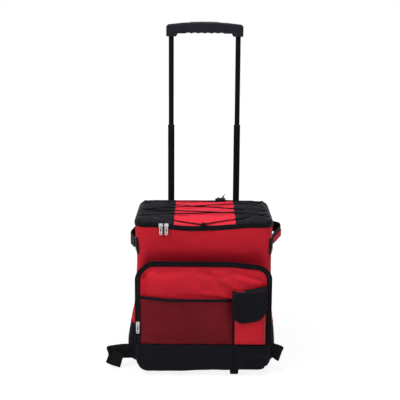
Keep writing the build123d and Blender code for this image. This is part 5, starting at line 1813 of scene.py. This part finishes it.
@dataclass
class Trolley:
    """Back channel over the tubes, and the ribs on the grip."""

    channel_half: float = 107 * MM
    channel_back: float = 169 * MM
    channel_low: float = 54 * MM
    channel_top: float = 366.6 * MM
    wall_y: float = 125.3 * MM
    grip_y: float = 153 * MM
    grip_top: float = 890 * MM
    grip_arch: float = 6.5 * MM
    grip_half: float = 100 * MM
    rib_count: int = 5

    def channel(self, finishes: Finishes) -> None:
        """Make the fabric channel over the lower tubes."""
        corners = [
            Vector((-self.channel_half, self.wall_y, 0)), Vector((-self.channel_half, self.channel_back, 0)),
            Vector((self.channel_half, self.channel_back, 0)), Vector((self.channel_half, self.wall_y, 0)),
        ]
        plan = even_path(rounded_path(corners, [14 * MM] * 2), 6 * MM)
        bm = sweep(even_levels(self.channel_low, self.channel_top, 44), frames_along(plan, Z_AXIS), False)

        def slack(point: Vector) -> Vector:
            """Return a point of the channel with soft creases between the tubes."""
            free = smooth_step(self.wall_y + 20 * MM, self.channel_back, point.y)
            foot = smooth_step(self.channel_low, self.channel_low + 26 * MM, point.z)
            ends = foot * smooth_step(self.channel_top, self.channel_top - 26 * MM, point.z)
            dip = 4 * MM * hump(0.0, 0.06, point.x) * ends
            return point - Vector((0, free * (dip + ends * MM * (1 + crumple(point, 14.0, 4.0)) * 0.8), 0))

        shape(bm, slack)
        face_towards(bm, Y_AXIS)
        Piece("back_channel", Body.BAG, finishes.black, "black_fabric", ("back_cover",), 1.4 * MM, 1).make(bm)

    def grip_ribs(self, finishes: Finishes) -> None:
        """Raise ribs across both ends of the grip."""
        ribs = []
        for side in Side:
            for rib in range(self.rib_count):
                x = side.value * (50 + 4.4 * rib) * MM
                crown = self.grip_top - self.grip_arch * (x / self.grip_half) ** 2
                foot = self.grip_top - 27 * MM
                corners = [
                    Vector((x, self.grip_y - 12.4 * MM, foot)), Vector((x, self.grip_y - 12.4 * MM, crown)),
                    Vector((x, self.grip_y + 12.4 * MM, crown)), Vector((x, self.grip_y + 12.4 * MM, foot)),
                ]
                line = even_path(rounded_path(corners, [5 * MM] * 2), 3 * MM)
                ribs.append(band(line, X_AXIS, 1.8 * MM, 1.2 * MM))
        Piece("grip_ribs", Body.UPPER_STAGE, finishes.grip, "grip_plastic").make(join_meshes(ribs))

    def build(self, finishes: Finishes) -> None:
        """Make the channel and the ribs."""
        self.channel(finishes)
        self.grip_ribs(finishes)


def dress_solids(nodes: dict[str, bpy.types.Object], finishes: Finishes) -> None:
    """Give every solid that shows its finish.

    Args:
        nodes: The frame's objects by node.
        finishes: The finishes.
    """
    dressing = {
        finishes.tube: ("lower_tubes", "middle_tubes", "upper_tubes"),
        finishes.plastic: (
            "tube_top_bracket", "tube_bottom_bracket", "wheel_housings", "wheel_left", "wheel_right",
            "middle_bushes", "upper_bushes", "middle_collars", "cord_lock_body", "cord_lock_plunger",
        ),
        finishes.grip: ("grip_lower", "grip_upper"),
        finishes.button: ("grip_button",),
        finishes.silver: (
            "lid_zip_slider_left", "lid_zip_slider_right", "lid_zip_tab_left", "lid_zip_tab_right",
            "pocket_zip_slider", "pocket_zip_tab",
        ),
        finishes.steel: (
            "axles", "frame_screws", "grip_screws", "push_rods", "button_springs", "cord_lock_spring",
        ),
        finishes.rubber: ("tyre_left", "tyre_right", "front_feet"),
        finishes.board: ("base_board", "back_board"),
    }
    for finish, names in dressing.items():
        for name in names:
            solid = nodes[name]
            solid.data.materials.clear()
            solid.data.materials.append(finish)
            LOG.info("%s has %s", name, finish.name)


@dataclass
class PullShadeStrips:
    """Dark strips down the middle of the zip pulls: painted shade of a pressed groove."""

    width: float = 2.6 * MM
    above: float = 8.5 * MM
    below: float = 9.0 * MM
    face: float = 0.7 * MM

    def build(self, nodes: dict[str, bpy.types.Object], finishes: Finishes) -> None:
        """Lay one dark strip of painted groove shade on each pull.

        Args:
            nodes: The frame's objects by node.
            finishes: The finishes.
        """
        pulls = {
            "lid_zip_tab_left": Body.LID_TAB_LEFT,
            "lid_zip_tab_right": Body.LID_TAB_RIGHT,
            "pocket_zip_tab": Body.POCKET_TAB,
        }
        for node, body in pulls.items():
            spots = [vert.co for vert in nodes[node].data.vertices]
            low = Vector([min(spot[axis] for spot in spots) for axis in range(3)])
            high = Vector([max(spot[axis] for spot in spots) for axis in range(3)])
            middle = (low + high) / 2
            y = middle.y - self.face
            ends = [Vector((middle.x, y, low.z + self.below)), Vector((middle.x, y, high.z - self.above))]
            # The dark band lies on the pull's face and paints the shade in its groove; no groove is cut.
            groove = band(even_path(ends, 2 * MM), Y_AXIS, 0.3 * MM, self.width)
            Piece(node + "_shade_strip", body, finishes.chain, "silver_metal").make(groove)


# The studio


@dataclass
class Studio:
    """Pale floor, soft lamps and the camera."""

    camera_x: float = -0.0101
    camera_y: float = -2.3878
    camera_z: float = 0.908
    pitch: float = 11.41
    roll: float = 0.373
    lens: float = 82.4
    sensor: float = 36.0
    ambient: float = 0.22
    floor_half: float = 8.0

    def backdrop(self) -> None:
        """Make the world and the floor, both white to the camera."""
        world = bpy.data.worlds.new("studio")
        world.use_nodes = True
        bpy.context.scene.world = world
        tree = world.node_tree
        sky = tree.nodes["Background"]
        sky.inputs["Color"].default_value = (1.0, 1.0, 1.0, 1.0)
        seen = self.seen_directly(tree)
        level = tree.nodes.new("ShaderNodeMapRange")
        level.inputs["To Min"].default_value = self.ambient
        level.inputs["To Max"].default_value = 1.0
        tree.links.new(seen, level.inputs["Value"])
        tree.links.new(level.outputs[0], sky.inputs["Strength"])
        bm = bmesh.new()
        bmesh.ops.create_grid(bm, x_segments=1, y_segments=1, size=self.floor_half)
        mesh = bpy.data.meshes.new("floor")
        bm.to_mesh(mesh)
        bm.free()
        floor = bpy.data.objects.new("floor", mesh)
        bpy.context.collection.objects.link(floor)
        mesh.materials.append(self.floor_finish())

    def seen_directly(self, tree: bpy.types.NodeTree) -> bpy.types.NodeSocket:
        """Return a socket that is 1 for camera, glossy and transmission rays."""
        light_path = tree.nodes.new("ShaderNodeLightPath")
        total = light_path.outputs["Is Camera Ray"]
        for kind in ("Is Glossy Ray", "Is Transmission Ray"):
            either = tree.nodes.new("ShaderNodeMath")
            either.operation = "MAXIMUM"
            tree.links.new(total, either.inputs[0])
            tree.links.new(light_path.outputs[kind], either.inputs[1])
            total = either.outputs[0]
        return total

    def floor_finish(self) -> bpy.types.Material:
        """Return the floor's material, which keeps a faint shadow."""
        material = bpy.data.materials.new("pale_floor")
        material.use_nodes = True
        tree = material.node_tree
        tree.nodes.clear()
        output = tree.nodes.new("ShaderNodeOutputMaterial")
        matte = tree.nodes.new("ShaderNodeBsdfDiffuse")
        matte.inputs["Color"].default_value = (0.9, 0.9, 0.9, 1.0)
        glow = tree.nodes.new("ShaderNodeEmission")
        glow.inputs["Color"].default_value = (1.0, 1.0, 1.0, 1.0)
        glow.inputs["Strength"].default_value = 1.05
        place = tree.nodes.new("ShaderNodeTexCoord")
        away = tree.nodes.new("ShaderNodeVectorMath")
        away.operation = "LENGTH"
        tree.links.new(place.outputs["Object"], away.inputs[0])
        fade = tree.nodes.new("ShaderNodeMapRange")
        fade.inputs["From Min"].default_value = 0.30
        fade.inputs["From Max"].default_value = 0.80
        fade.inputs["To Min"].default_value = 0.84
        fade.inputs["To Max"].default_value = 1.0
        tree.links.new(away.outputs["Value"], fade.inputs["Value"])
        share = tree.nodes.new("ShaderNodeMath")
        share.operation = "MULTIPLY"
        tree.links.new(self.seen_directly(tree), share.inputs[0])
        tree.links.new(fade.outputs[0], share.inputs[1])
        mix = tree.nodes.new("ShaderNodeMixShader")
        tree.links.new(share.outputs[0], mix.inputs[0])
        tree.links.new(matte.outputs[0], mix.inputs[1])
        tree.links.new(glow.outputs[0], mix.inputs[2])
        tree.links.new(mix.outputs[0], output.inputs["Surface"])
        return material

    def lamp(self, name: str, spot: Vector, target: Vector, size: float, power: float) -> None:
        """Hang one soft lamp.

        Args:
            name: Name of the lamp.
            spot: Where it hangs.
            target: Where it points.
            size: Side of its square.
            power: Power in watts.
        """
        light = bpy.data.lights.new(name, "AREA")
        light.size = size
        light.energy = power
        lamp = bpy.data.objects.new(name, light)
        lamp.location = spot
        lamp.rotation_euler = (target - spot).to_track_quat("-Z", "Y").to_euler()
        bpy.context.collection.objects.link(lamp)

    def build(self) -> None:
        """Set up the floor, the lamps, the camera and the colours."""
        bpy.context.scene.view_settings.view_transform = "Standard"
        self.backdrop()
        middle = Vector((0.0, 0.0, 0.35))
        self.lamp("key", Vector((-1.2, -1.3, 1.9)), middle, 0.9, 38.0)
        self.lamp("fill", Vector((1.5, -1.9, 0.8)), middle, 1.2, 10.0)
        self.lamp("top", Vector((0.2, -0.5, 2.3)), middle, 1.0, 30.0)
        data = bpy.data.cameras.new("camera")
        data.lens = self.lens
        data.sensor_width = self.sensor
        camera = bpy.data.objects.new("camera", data)
        camera.location = (self.camera_x, self.camera_y, self.camera_z)
        level = Matrix.Rotation(math.radians(90.0 - self.pitch), 3, "X")
        camera.rotation_euler = (level @ Matrix.Rotation(math.radians(self.roll), 3, "Z")).to_euler()
        bpy.context.collection.objects.link(camera)
        bpy.context.scene.camera = camera


def main() -> None:
    """Dress the frame."""
    logging.basicConfig(level=logging.INFO, format="%(message)s")
    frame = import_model()
    finishes = Finishes()
    Studio().build()
    lacing = BungeeLacing()
    lacing.build(finishes)
    InsulatedBody().build(finishes)
    Lid(strands=lacing.strands(Lid.groove)).build(finishes)
    FrontPocket().build(finishes)
    MeshPocket().build(finishes)
    PhonePocket().build(finishes)
    SideHandle(
        Side.LEFT, Body.HANDLE_LEFT, tilt=-26.0, reach=18 * MM, root_z=332 * MM, height=30 * MM,
        sleeve_near=2 * MM, sleeve_height=28 * MM, sleeve_drop=0.0, root_x=177 * MM, half_span=92 * MM,
    ).build(finishes)
    SideHandle(
        Side.RIGHT, Body.HANDLE_RIGHT, tilt=16.0, reach=29 * MM, root_z=340 * MM, height=29 * MM,
        sleeve_near=-84 * MM, sleeve_height=16 * MM, sleeve_drop=6 * MM, root_x=176 * MM, half_span=88 * MM,
    ).build(finishes)
    HandleTabs().build(finishes)
    LooseStraps().build(finishes)
    Trolley().build(finishes)
    dress_solids(frame["nodes"], finishes)
    PullShadeStrips().build(frame["nodes"], finishes)


if __name__ == "__main__":
    main()
